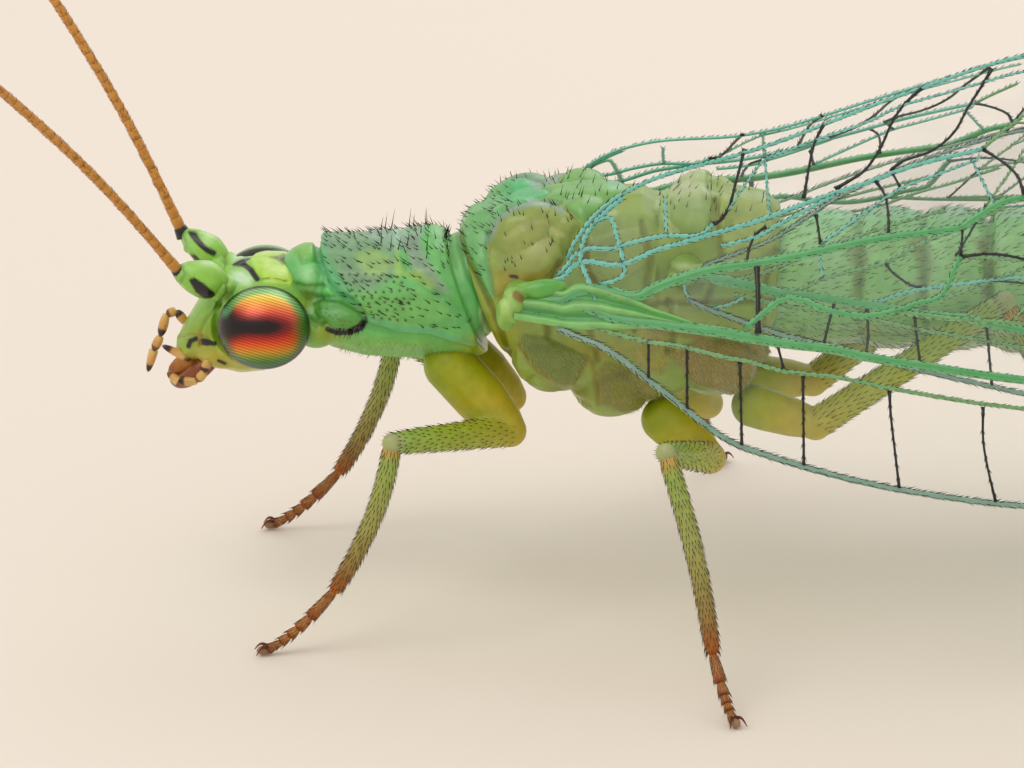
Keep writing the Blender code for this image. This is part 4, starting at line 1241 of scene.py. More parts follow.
# %% [markdown]
# ## Abdomen
# Nine soft rings, bright green above and olive below, with brown clouds where one ring meets the
# next. The frame already has the rings, and the skin only rounds them and closes the gaps.

# %% Abdomen skin
ABDOMEN = ("abdomen_front", "abdomen_middle", "abdomen_rear")
belly = copy_solids("abdomen_skin", ABDOMEN)
fuse(belly, eggs((
    ((0.0, 5.2, 3.36), (0.46, 0.5, 0.62), 0),
    ((0.0, 7.25, 3.32), (0.52, 0.4, 0.66), 0),
    ((0.0, 9.2, 3.24), (0.50, 0.4, 0.62), 0),
)), 0.026, 8)
seams = [264 + 100 * (5.28 + 5.86 * k / 9) for k in range(1, 9)]
press(belly, [(-0.03, 4, (u, 120), (u + 6, 500)) for u in seams] + [
    (-0.02, 3, (780, 330), (1400, 352)), (0.02, 8, (780, 318), (1400, 340)),
])
paint(
    belly, "#a4da92",
    washes=[
        ("#8ccc96", 0.8, (900, 212), (500, 16)),
        ("#7cb85a", 0.7, (900, 320), (500, 20)),
        ("#8c8436", 0.9, (900, 366), (500, 26)),
        *[("#b8c4b0", 0.5, (u + 24, 208), (20, 9)) for u in seams],
        *[("#c8b862", 0.4, (u + 10, 330), (12, 8)) for u in seams],
    ],
    patches=[
        ("#8a6238", 0.55, 12, (u - 14, 240), (u + 4, 236), (u + 10, 262), (u + 4, 296),
         (u - 6, 300), (u - 2, 270))
        for u in seams
    ],
    strokes=[("#6fa45a", 0.6, 1.5, 5, (u, 120), (u + 6, 500)) for u in seams],
)
coat = Bundle()
body_bristles(
    coat, belly, ((760, 160), (1420, 160), (1420, 420), (760, 420)), 0.085, (0.0, 0.9, 0.3), 0.45,
    0.085, 0.0045, "#3c4030",
)
settle(coat.piece("abdomen_bristles", False), bristle_shell, ())
settle(belly, green_shell, ABDOMEN)

# %% [markdown]
# ## Legs
# Each leg has a stout hip, a thigh, a shin and a five-jointed foot with two claws. Rows of short
# black bristles lie along thigh and shin. The joints stand where the frame has them. Hip and
# thigh are fused into one skin, because in life they meet in a smooth bend.

# %% Leg tables
LEGS = {
    "fore": ((0.40, 1.98, 2.44), (0.50, 2.46, 1.92), (1.60, 1.29, 2.19), (1.70, 0.71, 0.66),
             (1.78, 0.04, 0.07)),
    "middle": ((0.56, 4.10, 1.98), (0.80, 4.46, 1.74), (2.34, 4.00, 2.36), (3.25, 4.46, 0.59),
               (3.72, 4.66, 0.07)),
    "hind": ((0.48, 5.02, 2.14), (0.64, 5.52, 2.04), (0.97, 7.39, 3.46), (2.22, 8.50, 0.60),
             (2.70, 9.58, 0.07)),
}
BOWS = {"fore": (0.10, 0.0), "middle": (0.05, 0.0), "hind": (0.10, 0.28)}
HIPS = {
    "fore": ((0, 0.27), (0.4, 0.27), (0.8, 0.22), (1, 0.17)),
    "middle": ((0, 0.24), (0.5, 0.22), (1, 0.16)),
    "hind": ((0, 0.22), (0.5, 0.20), (1, 0.15)),
}
HIP = ((0, "#a9ae2e"), (0.5, "#bcae34"), (1, "#c0ae3c"))
THIGH = ((0, "#bcb040"), (0.2, "#b2b444"), (0.6, "#a4b848"), (0.93, "#9cb85c"), (1, "#a8b07c"))
SHIN = ((0, "#a8b070"), (0.04, "#c8a458"), (0.12, "#9ab058"), (0.5, "#a8a860"), (0.8, "#9a8448"),
        (0.95, "#a0622a"), (1, "#c07028"))
FOOT = ((0, "#b87434"), (0.5, "#c08a52"), (0.85, "#b0682c"), (1, "#8a4a20"))


def leg_rows(coat, path, radii, rows, spacing, length, tile, lean=0.3, tone="#17120a"):
    """Lays bristles along a limb in staggered rows, pointing to its end."""
    span = np.linalg.norm(np.diff(path, axis=0), axis=1)
    reach = np.concatenate(((0,), np.cumsum(span)))
    count = int(reach[-1] / spacing)
    at = (np.repeat(np.arange(count), rows) + chance.uniform(-0.3, 0.3, count * rows)) * spacing
    turn = (np.tile(np.arange(rows), count) + 0.5 * np.repeat(np.arange(count) % 2, rows)) / rows
    turn = 2 * np.pi * (turn + chance.uniform(-0.012, 0.012, len(turn)))
    at = np.clip(at + spacing, 0, reach[-1] * 0.99)
    spine, ahead, behind = (
        np.column_stack([np.interp(at + shift, reach, path[:, k]) for k in range(3)])
        for shift in (0, 0.01, -0.01)
    )
    heading = ahead - behind
    heading /= np.linalg.norm(heading, axis=1)[:, None]
    up = np.array((0, 0, 1.0)) if abs(heading[0][2]) < 0.9 else np.array((0, 1.0, 0))
    across = np.cross(heading, up)
    across /= np.linalg.norm(across, axis=1)[:, None]
    other = np.cross(across, heading)
    swing = across * np.cos(turn)[:, None] + other * np.sin(turn)[:, None]
    size = np.interp(at, reach, radii)
    places = np.column_stack((tile[0] + tile[2] * at / reach[-1], tile[1] + tile[3] * turn / 7))
    bristles(
        coat, spine + swing * size[:, None] * 0.97, heading * 0.95 + swing * lean,
        length * chance.uniform(0.8, 1.2, len(at)), 0.0056, linear(tone), places,
    )


def bowed(start, end, bow, steps=14):
    """A path from one joint to the next that bows backwards and inwards."""
    share = np.linspace(0, 1, steps)[:, None]
    sag = np.array((-bow[1] * np.sign(start[0]), bow[0], 0))
    return start + (end - start) * share + sag * 4 * share * (1 - share)


def joint_radii(first, middle, last, steps=14):
    """Radii that narrow at both ends of a limb."""
    share = np.linspace(0, 1, steps)
    radii = np.interp(share, (0, 0.4, 1), (first, middle, last))
    return radii * (1 - 0.35 * np.exp(-share / 0.02) - 0.25 * np.exp(-(1 - share) / 0.02))


# %% Hip and thigh
def along_segment(points, start, end):
    """How far along a segment each point lies, and its distance from the segment."""
    step = end - start
    share = np.clip((points - start) @ step / (step @ step), 0, 1)
    return share, np.linalg.norm(points - start - share[:, None] * step, axis=1)


def build_thigh(which, side, hip, ring, knee):
    """Hip and thigh as one fused skin, modelled from strings of overlapping balls."""
    balls = []
    for start, end, widths, first, last in (
        (hip, ring, HIPS[which], -0.25, 1.0), (ring, knee, ((0, 0.165), (0.12, 0.155), (0.5, 0.14),
                                                            (0.9, 0.118), (1, 0.105)), 0.0, 1.0),
    ):
        length = np.linalg.norm(end - start)
        shares = np.linspace(first, last, int(length * (last - first) / 0.07) + 2)
        places, radii = zip(*widths)
        for share in shares:
            balls.append((start + (end - start) * share, float(np.interp(share, places, radii))))
    bpy.ops.object.select_all(action="DESELECT")
    made = []
    for centre, radius in balls:
        bpy.ops.mesh.primitive_ico_sphere_add(subdivisions=3, radius=radius, location=(0, 0, 0))
        bpy.context.object.data.transform(Matrix.Translation(centre))
        made.append(bpy.context.object)
    thigh = made[0]
    thigh.name = f"thigh_{which}_{side}"
    fuse(thigh, made[1:], 0.017, 5)
    points, _ = vertex_arrays(thigh)
    share_hip, off_hip = along_segment(points, hip, ring)
    share_thigh, off_thigh = along_segment(points, ring, knee)
    blend = ease((off_hip - off_thigh) / 0.12 + 0.5)[:, None]
    tint = banded(HIP, share_hip) * (1 - blend) + banded(THIGH, share_thigh) * blend
    tint = mix(tint, "#7f9a2c", 0.5 * ease((hip[1] - points[:, 1]) / 0.3) * (1 - blend[:, 0]))
    give_tint(thigh.data, tint)
    return thigh


# %% Leg building
FLOOR_CLEARANCE = 0.003


def build_leg(which, side):
    """One leg from hip to claws, and its coat of bristles."""
    bundle, coat = Bundle(), Bundle()
    hip, ring, knee, ankle, claw = (np.array(p) * (sign_of(side), 1, 1) for p in LEGS[which])
    thigh = build_thigh(which, side, hip, ring, knee)
    path = bowed(ring, knee, (0, 0), 18)
    radii = np.interp(
        np.linspace(0, 1, 18), (0, 0.12, 0.5, 0.9, 1), (0.165, 0.155, 0.14, 0.118, 0.105)
    )
    leg_rows(coat, path, radii, 17, 0.085, 0.078, (0.02, 0.03, 0.28, 0.9))
    shin = bowed(knee, ankle, BOWS[which], 26)
    radii = joint_radii(0.092, 0.094, 0.078, 26)
    tapered(bundle, shin, radii, banded(SHIN, np.linspace(0, 1, 26)), 22)
    leg_rows(coat, shin, radii, 16, 0.07, 0.075, (0.33, 0.03, 0.4, 0.9))
    foot = bowed(ankle, claw, (0.0, 0.0), 40)
    drop = np.linspace(0, 1, 40)
    foot[:, 2] = ankle[2] + (claw[2] - ankle[2]) * (1 - (1 - drop) ** 1.35)
    ends = (0, 0.36, 0.54, 0.68, 0.80, 1.0)
    for k, (first, last) in enumerate(zip(ends, ends[1:])):
        piece = foot[int(first * 39):int(last * 39) + 1]
        share = np.linspace(0, 1, len(piece))
        size = (0.060 - 0.003 * k) * (0.62 + 0.42 * share ** 0.8)
        tapered(bundle, piece, size, banded(FOOT, share), 14)
        leg_rows(coat, piece, size, 11, 0.034, 0.06, (0.75 + 0.04 * k, 0.03, 0.035, 0.9), 0.3,
                 "#5a3a1c")
    heading = (foot[-1] - foot[-6]) * (1, 1, 0)
    heading /= np.linalg.norm(heading)
    aside = np.array((-heading[1], heading[0], 0))
    bend = np.linspace(0, 1, 9)
    for sign in (1, -1):
        hook = foot[-1] + heading * 0.12 * bend[:, None] + aside * sign * (
            0.02 + 0.07 * bend[:, None]
        )
        hook[:, 2] = 0.09 + 0.03 * np.sin(np.pi * bend) - 0.055 * bend ** 2
        tapered(bundle, hook, 0.022 * (1 - 0.8 * bend), np.array(linear("#5a3216")), 8)
    pad = foot[-1] + heading * np.linspace(-0.03, 0.11, 8)[:, None]
    pad[:, 2] = 0.056
    tapered(bundle, pad, 0.048 * np.sqrt(np.clip(1 - np.linspace(-1, 1, 8) ** 2, 0.02, 1)),
            np.array(linear("#9a7c60")), 14)
    for points in (*bundle.points, *coat.points):
        points[:, 2] = np.maximum(points[:, 2], FLOOR_CLEARANCE)
    settle(thigh, limb_shell, [f"coxa_{which}_{side}", f"femur_{which}_{side}"])
    settle(bundle.piece(f"shin_{which}_{side}"), limb_shell,
           [f"tibia_{which}_{side}", f"tarsus_{which}_{side}"])
    settle(coat.piece(f"leg_{which}_{side}_bristles", False), bristle_shell, ())


for side in SIDES:
    for which in LEGS:
        build_leg(which, side)

# %% [markdown]
# ## Wings
# Four clear wings lie like a roof over the body. The frame's plates were laid out from the table
# below, and the wing here is the same sheet at its true thinness: a place on it is given by the
# distance along the wing and the share of the way from the front edge to the hind edge.

# %% Wing sheet
WING_ROOT = 2.48
WING_STEP = 0.62
FOREWING = np.array((
    (0.00, 1.32, 3.56, 50.0, 0.16, 0.16, 0.00), (0.50, 1.38, 3.57, 51.2, 0.28, 0.42, 0.03),
    (0.62, 1.40, 3.57, 51.6, 0.33, 0.68, 0.05), (0.80, 1.43, 3.58, 52.2, 0.40, 0.94, 0.08),
    (1.05, 1.44, 3.60, 52.8, 0.57, 1.14, 0.13), (1.48, 1.42, 3.62, 53.4, 0.95, 1.33, 0.24),
    (2.28, 1.32, 3.66, 53.6, 1.62, 1.50, 0.40), (3.88, 1.46, 3.70, 55.4, 2.05, 2.12, 0.46),
    (5.12, 1.57, 3.74, 57.2, 2.20, 2.52, 0.44), (7.50, 1.70, 3.74, 60.0, 2.24, 2.96, 0.38),
    (9.50, 1.72, 3.70, 61.0, 2.15, 3.06, 0.32), (11.20, 1.60, 3.67, 62.0, 1.95, 2.84, 0.26),
    (12.80, 1.38, 3.64, 63.5, 1.62, 2.36, 0.20), (14.20, 1.10, 3.60, 65.0, 1.18, 1.66, 0.12),
    (15.20, 0.90, 3.58, 66.0, 0.70, 0.96, 0.06), (15.75, 0.80, 3.56, 66.0, 0.16, 0.20, 0.00),
))
HINDWING = np.array((
    (1.66, 0.12, 0.38), (2.00, -0.12, 0.46), (2.50, -0.33, 0.62), (3.30, -0.54, 1.15),
    (4.30, -0.80, 1.60), (5.60, -1.08, 1.92), (7.50, -1.36, 2.12), (9.50, -1.50, 2.12),
    (11.30, -1.38, 1.86), (12.80, -1.06, 1.32), (14.00, -0.62, 0.70), (14.70, -0.14, 0.18),
))


def read_table(table, column, at):
    """Reads a column of a table with a curve that never overshoots its rows."""
    places, values = table[:, 0], table[:, column]
    at = np.clip(at, places[0], places[-1])
    steps = np.diff(places)
    rises = np.diff(values) / steps
    both = rises[:-1] * rises[1:]
    total = rises[:-1] + rises[1:]
    inner = np.where(both > 0, 2 * both / np.where(total == 0, 1, total), 0)
    slopes = np.concatenate((rises[:1], inner, rises[-1:]))
    k = np.clip(np.searchsorted(places, at) - 1, 0, len(steps) - 1)
    u = (at - places[k]) / steps[k]
    ease = u * u * (3 - 2 * u)
    lead = u * (1 - u) ** 2 * steps[k] * slopes[k]
    trail = u * u * (u - 1) * steps[k] * slopes[k + 1]
    return values[k] + (values[k + 1] - values[k]) * ease + lead + trail


def on_wing(kind, along, share, lift=0.0):
    """A place on the left wing's sheet, lifted off it by some millimetres, and the way out."""
    along, share = np.asarray(along, float), np.asarray(share, float)
    axis_x, axis_z, roof, costal, hind, camber = (
        read_table(FOREWING, n, along) for n in range(1, 7)
    )
    low, high = -costal, hind
    if kind == "hind":
        low, high = (read_table(HINDWING, n, along) for n in (1, 2))
    across = low + (high - low) * share
    part = (across + costal) / (costal + hind)
    slope = np.radians(roof)
    outward = np.column_stack((np.sin(slope), np.zeros_like(slope), np.cos(slope)))
    up_roof = np.column_stack((-np.cos(slope), np.zeros_like(slope), np.sin(slope)))
    depth = camber * 4 * part * (1 - part) + lift - (WING_STEP if kind == "hind" else 0)
    point = np.column_stack((axis_x, WING_ROOT + along, axis_z))
    return point + up_roof * across[:, None] + outward * depth[:, None], outward


WING_LENGTH = 15.75
print("wing tip at", on_wing("fore", [WING_LENGTH], [0.5])[0].round(2))


# %% [markdown]
# ## Veins
# The long veins are green to turquoise and beaded with the roots of fine bristles. Most
# crossveins are black. Those in the photograph are traced in the wing's own coordinates, and
# past its edge the network goes on as the species has it: two zigzag veins along the middle,
# slanting branches between them, and forks at the margin.

# %% Vein tables
COSTA, TIP = 0.012, 15.6
FORE_LONG = (
    (0.040, "edge", ((0.45, 0.02), (1, COSTA), (2, COSTA), (5, COSTA), (9, COSTA), (13, COSTA),
                     (15.0, 0.02), (TIP, 0.3))),
    (0.026, "cyan", ((0.55, 0.98), (1, 0.985), (2, 0.985), (5, 0.985), (9, 0.985), (13, 0.985),
                     (15.0, 0.98), (TIP, 0.7))),
    (0.028, "dotted", ((0.2, 0.30), (0.6, 0.18), (0.97, 0.131), (1.7, 0.237), (2.25, 0.27),
                       (2.64, 0.258), (3.18, 0.257), (3.7, 0.241), (4.5, 0.219), (5.04, 0.208),
                       (7, 0.165), (9.5, 0.125), (12.6, 0.095), (14.0, 0.05))),
    (0.050, "stem", ((0.1, 0.45), (0.48, 0.344), (0.97, 0.229), (1.46, 0.286), (2.0, 0.341),
                     (2.35, 0.343), (2.74, 0.336), (3.13, 0.33), (3.49, 0.313), (4, 0.297),
                     (5.04, 0.267), (7, 0.225), (9.5, 0.185), (12.6, 0.16), (14.4, 0.14),
                     (15.3, 0.06))),
    (0.046, "stem", ((0.1, 0.55), (0.5, 0.46), (1.13, 0.369), (1.46, 0.454), (1.74, 0.519),
                     (2.06, 0.566), (2.45, 0.583), (3.0, 0.6), (3.5, 0.611), (4.17, 0.611),
                     (4.41, 0.609), (4.52, 0.62), (4.82, 0.653), (5.06, 0.657))),
    (0.034, "stem", ((2.3, 0.37), (2.65, 0.464), (2.88, 0.46), (3.09, 0.435), (3.44, 0.416),
                     (3.77, 0.425), (4.0, 0.442), (4.23, 0.455), (4.38, 0.523), (4.43, 0.542))),
    (0.022, "dark", ((4.43, 0.542), (4.73, 0.541), (5.05, 0.523), (5.4, 0.49))),
    (0.032, "dotted", ((3.77, 0.425), (4.4, 0.40), (5.5, 0.375), (7, 0.34), (9, 0.30), (11, 0.27),
                       (13, 0.27), (14.4, 0.33), (15.1, 0.42))),
    (0.032, "cyan", ((0.35, 0.80), (0.5, 0.80), (0.97, 0.555), (1.47, 0.626), (1.99, 0.692),
                     (2.41, 0.723), (3.0, 0.756), (3.51, 0.769), (4.01, 0.785), (4.66, 0.785))),
    (0.026, "dotted", ((4.66, 0.785), (4.78, 0.805), (5.07, 0.845))),
    (0.024, "dark", ((4.66, 0.785), (4.88, 0.74), (5.01, 0.703), (5.06, 0.657))),
    (0.028, "cyan", ((0.45, 0.9), (0.56, 0.871), (0.93, 0.671), (1.21, 0.671), (1.51, 0.687),
                     (1.84, 0.685), (1.99, 0.731))),
    (0.022, "cyan", ((3.05, 0.621), (3.26, 0.654), (3.5, 0.689), (3.83, 0.732), (4.01, 0.741),
                     (4.56, 0.762), (4.63, 0.769))),
    (0.026, "cyan", ((2.07, 0.647), (2.49, 0.677), (2.59, 0.696), (2.91, 0.731), (3.2, 0.756))),
    (0.022, "dark", ((2.31, 1.0), (2.27, 0.939), (2.22, 0.877), (2.16, 0.797), (2.07, 0.744),
                     (1.99, 0.731))),
    (0.022, "dark", ((3.11, 0.99), (3.01, 0.939), (2.96, 0.883), (2.89, 0.77))),
    (0.022, "dark", ((4.07, 0.984), (3.89, 0.955), (3.76, 0.911), (3.66, 0.858), (3.51, 0.808),
                     (3.39, 0.792), (3.2, 0.774))),
    (0.022, "dark", ((4.77, 0.973), (4.65, 0.934), (4.52, 0.894), (4.4, 0.848), (4.26, 0.822),
                     (4.11, 0.809), (3.87, 0.804), (3.75, 0.785))),
    (0.030, "cyan", ((0.83, 0.31), (0.73, 0.555), (0.68, 0.736), (0.71, 0.873), (0.79, 0.919),
                     (0.95, 0.939), (1.1, 0.955))),
    (0.026, "cyan", ((0.80, 0.92), (0.91, 0.90), (0.99, 0.851), (1.05, 0.704), (1.11, 0.539),
                     (1.09, 0.481), (0.99, 0.444), (0.87, 0.437))),
    (0.018, "cyan", ((2.51, 0.973), (2.53, 0.84), (2.55, 0.732))),
    (0.018, "cyan", ((2.67, 0.953), (2.5, 0.933), (2.36, 0.884), (2.14, 0.779), (2.06, 0.744))),
    (0.020, "cyan", ((2.5, 0.94), (2.96, 0.945), (3.52, 0.942), (3.89, 0.955), (4.48, 0.947),
                     (5.08, 0.947))),
)
FORE_CROSS = (
    ("dark", ((3.01, 0.709), (3.03, 0.666), (3.05, 0.621))),
    ("dark", ((3.76, 0.782), (3.84, 0.737))),
    ("dark", ((3.6, 0.768), (3.69, 0.724), (3.72, 0.67), (3.72, 0.617))),
    ("cyan", ((4.56, 0.762), (4.66, 0.705), (4.77, 0.65))),
    ("dark", ((2.52, 0.699), (2.41, 0.681), (2.34, 0.625), (2.32, 0.58))),
    ("thick", ((2.42, 0.58), (2.43, 0.496), (2.43, 0.36))),
    ("cyan", ((1.52, 0.87), (1.52, 0.80), (1.53, 0.690))),
    ("dark", ((2.62, 0.33), (2.68, 0.265))),
    ("dark", ((4.43, 0.542), (4.45, 0.61))),
    ("dark", ((1.35, 0.19), (1.35, COSTA))),
    ("dark", ((1.73, 0.243), (1.73, COSTA))),
    ("dark", ((2.25, 0.264), (2.27, COSTA))),
    ("dark", ((2.87, 0.251), (2.88, COSTA))),
    ("dark", ((3.72, 0.234), (3.73, 0.185), (3.76, 0.122), (3.82, COSTA))),
    ("dark", ((4.64, 0.21), (4.64, 0.14), (4.69, 0.079), (4.77, COSTA))),
)
print(len(FORE_LONG), "long veins traced")


# %% Veins past the photograph
HIND_EDGE = 0.985


def far_network(start, end, pace, rs, psm, psc):
    """Veins that go on to the wing tip: zigzag middle veins, slanting branches, forks and
    crossveins. The three middle veins are tables of (distance, share)."""
    veins = []

    def read(table, at):
        places, shares = zip(*table)
        return float(np.interp(at, places, shares))

    count = int((end - start) / pace)
    middle = [(start + pace * k, read(psm, start + pace * k) + 0.014 * (-1) ** k)
              for k in range(count + 1)]
    outer = [(start + pace * (k + 0.35), read(psc, start + pace * (k + 0.35)) - 0.014 * (-1) ** k)
             for k in range(count + 1)]
    veins.append((0.026, "dotted", middle))
    veins.append((0.024, "dotted", outer))
    for k in range(count + 1):
        at, share = middle[k]
        root = at - pace * 1.15
        if root > start - 0.2:
            top = (root, read(rs, root))
            veins.append((0.020, "dotted", (top, (at, share))))
            if k:
                for part in (0.35, 0.68):
                    a = [top[0] + (at - top[0]) * part, top[1] + (share - top[1]) * part]
                    b_top = (root - pace, read(rs, root - pace))
                    b_end = middle[k - 1]
                    part = min(1, part + 0.16)
                    b = [b_top[0] + (b_end[0] - b_top[0]) * part,
                         b_top[1] + (b_end[1] - b_top[1]) * part]
                    if b_top[0] > start - 0.2:
                        veins.append((0.016, "dark", (b, a)))
        veins.append((0.018, "dark", ((at, share), outer[k])))
        out_at, out_share = outer[k]
        fork = (out_at + pace * 0.36, out_share + (HIND_EDGE - out_share) * 0.55)
        veins.append((0.019, "dotted", (outer[k], fork)))
        for spread in (0.25, 0.62):
            veins.append((0.016, "dotted", (fork, (fork[0] + pace * spread, HIND_EDGE))))
    return veins


FORE_RS = ((3.7, 0.425), (5.5, 0.375), (7, 0.34), (9, 0.30), (11, 0.27), (13, 0.27), (14.4, 0.33))
FORE_PSM = ((5.0, 0.655), (7, 0.62), (9, 0.59), (11, 0.56), (13, 0.55), (14.6, 0.55))
FORE_PSC = ((5.0, 0.845), (7, 0.82), (9, 0.80), (11, 0.78), (13, 0.76), (14.8, 0.74))
HIND_RS = ((3.0, 0.34), (5, 0.33), (8, 0.30), (11, 0.28), (13, 0.30), (14.2, 0.40))
HIND_PSM = ((3.4, 0.49), (4.4, 0.50), (7, 0.52), (11, 0.54), (13.8, 0.56))
HIND_PSC = ((3.4, 0.70), (4.4, 0.72), (7, 0.75), (11, 0.76), (13.8, 0.76))

fore_veins = list(FORE_LONG)
fore_veins += [(0.034 if tone == "thick" else 0.020, "dark" if tone == "thick" else tone, line)
               for tone, line in FORE_CROSS]
for k in range(10):
    at = 5.55 + 0.86 * k
    sub = float(np.interp(at, (5.04, 7, 9.5, 12.6, 14.0), (0.208, 0.165, 0.125, 0.095, 0.05)))
    rad = float(np.interp(at, (5.04, 7, 9.5, 12.6, 14.4), (0.267, 0.225, 0.185, 0.16, 0.14)))
    fore_veins.append((0.020, "dark", ((at, sub), (at + 0.1, COSTA))))
    fore_veins.append((0.018, "dark", ((at + 0.3, rad), (at + 0.36, float(np.interp(
        at + 0.36, *zip(*FORE_RS)
    ))))))
fore_veins += far_network(5.06, 14.3, 0.86, FORE_RS, FORE_PSM, FORE_PSC)

hind_veins = [
    (0.034, "edge", ((1.75, 0.1), (2.5, 0.03), (3.1, COSTA), (5, COSTA), (9, COSTA), (12.6, COSTA),
                     (14.1, 0.03), (14.62, 0.35))),
    (0.022, "edge", ((1.9, 0.97), (2.6, 0.985), (5, 0.985), (9, 0.985), (12.6, 0.985),
                     (14.1, 0.97), (14.62, 0.65))),
    (0.050, "stem", ((1.7, 0.75), (1.87, 0.809), (2.07, 0.627), (2.38, 0.511), (2.66, 0.412),
                     (3.02, 0.344), (3.3, 0.309), (3.56, 0.291), (4.02, 0.264), (4.53, 0.259),
                     (5.07, 0.236), (8, 0.19), (11, 0.18), (13.4, 0.2), (14.3, 0.3))),
    (0.026, "dotted", ((2.2, 0.4), (2.9, 0.26), (3.69, 0.208), (4.1, 0.19), (5.07, 0.173),
                       (8, 0.11), (11, 0.09), (13, 0.05))),
    (0.026, "cyan", ((3.56, 0.302), (3.66, 0.315), (3.79, 0.342), (4.03, 0.372), (4.53, 0.404),
                     (5.07, 0.431), (5.6, 0.47))),
    (0.026, "dotted", ((2.7, 0.39), (2.87, 0.413), (3.07, 0.461), (3.51, 0.497), (3.71, 0.512),
                       (4.06, 0.585), (4.44, 0.63), (4.9, 0.70))),
    (0.020, "cyan", ((3.05, 0.676), (3.08, 0.473))),
    (0.020, "dark", ((3.71, 0.512), (3.77, 0.463), (3.95, 0.395), (4.06, 0.386))),
    (0.020, "cyan", ((1.7, 0.6), (1.75, 0.2), (1.9, 0.1), (2.1, 0.2), (2.3, 0.36))),
    (0.022, "dark", ((3.2, 0.30), (3.14, 0.159), (3.09, COSTA))),
    (0.022, "dark", ((3.52, 0.27), (3.53, 0.117), (3.5, COSTA))),
    (0.022, "dark", ((3.99, 0.25), (4.02, 0.122), (4.05, COSTA))),
    (0.022, "dark", ((4.7, 0.24), (4.73, 0.107), (4.75, COSTA))),
    (0.024, "dotted", ((2.2, 0.6), (2.6, 0.66), (3.4, 0.69), (4.3, 0.72))),
]
for k in range(8):
    at = 5.5 + 0.85 * k
    rad = float(np.interp(at, (5.07, 8, 11, 13.4), (0.236, 0.19, 0.18, 0.2)))
    hind_veins.append((0.018, "dark", ((at, rad), (at + 0.05, COSTA))))
hind_veins += far_network(4.4, 13.5, 0.86, HIND_RS, HIND_PSM, HIND_PSC)
print(len(fore_veins), "veins in a forewing,", len(hind_veins), "in a hindwing")

# %% The two sides
SUNK_FROM, SUNK_SHARE, SUNK_DEPTH = 3.0, 0.045, 0.15


def on_side(side, kind, along, share, lift=0.0):
    """A place on one side's wing, given as it lies on the left. The right pair has sunk a little
    towards the body, as the photograph shows over the animal's back."""
    along, share = np.asarray(along, float), np.asarray(share, float)
    if side == "right":
        sunk = ease(along / SUNK_FROM)
        share, lift = share * (1 - SUNK_SHARE * sunk), lift - SUNK_DEPTH * sunk
    return on_wing(kind, along, share, lift)


# %% [markdown]
# ## Building the wings
# A vein is a flat tube, painted paler on either flank and darker across its faces as a painted
# shading of the tube, and the bristles stand in a row on each flank, every one on a dark root. The
# film between the veins is one closed sheet.

# %% Vein building
# Each tone's first colour is the vein's own, and the second is the paler colour painted on its
# flanks as shading across the tube.
VEIN_TONES_WITH_PAINTED_SHADING = {
    "edge": ("#7b9c8e", "#adc6b4"), "stem": ("#4f9f5c", "#93cfa2"),
    "dotted": ("#679a62", "#a6c894"), "cyan": ("#5eb6a8", "#b2e4d4"),
    "dark": ("#120d09", "#241a14"),
}
STEM_WIDTH = ((0.0, 0.050), (0.5, 0.066), (1.6, 0.060), (4, 0.045), (9, 0.034), (15.5, 0.022))


def soft_line(line, spacing=0.07):
    """A smooth line through rough points, as evenly spaced distances and shares."""
    line = np.array(line, float)

    def steps_between(b, c, least=2):
        return max(least, int(np.linalg.norm((c - b) * (1, 4)) / spacing))

    if len(line) == 2:
        return line[0] + (line[1] - line[0]) * np.linspace(0, 1, steps_between(*line, 5))[:, None]
    return smooth_through(line, steps_between)


def vein_bristles(coat, line, path, outward, size, spacing, length):
    """Two rows of bristles on the flanks of a vein, lying towards the wing tip."""
    reach = np.concatenate(((0,), np.cumsum(np.linalg.norm(np.diff(path, axis=0), axis=1))))
    count = int(reach[-1] / spacing)
    if count < 1:
        return
    at = np.tile(np.linspace(0, reach[-1], count), 2)
    at = at + chance.uniform(-0.35, 0.35, len(at)) * spacing

    def read(values, where=at):
        return np.column_stack([np.interp(where, reach, column) for column in values.T])

    spine, out = read(path), read(outward)
    heading = read(path, at + 0.02) - read(path, at - 0.02) + np.array((0, 1e-6, 0))
    heading /= np.linalg.norm(heading, axis=1)[:, None]
    heading *= np.sign(heading[:, 1:2] + 1e-9)
    beside = np.cross(heading, out)
    lean = np.repeat((-1.0, 1.0), count) * chance.uniform(0.6, 1.3, len(at))
    rise, aside = out * np.cos(lean)[:, None], beside * np.sin(lean)[:, None]
    wide = np.interp(at, reach, size)[:, None] * 0.92
    places = read(line) * (1 / WING_LENGTH, 1)
    bristles(
        coat, spine + (rise * 0.6 + aside) * wide, (rise + aside) * 0.45 + heading * 0.85,
        length * chance.uniform(0.6, 1.2, len(at)), 0.0072, linear("#1b1d16"), places,
    )


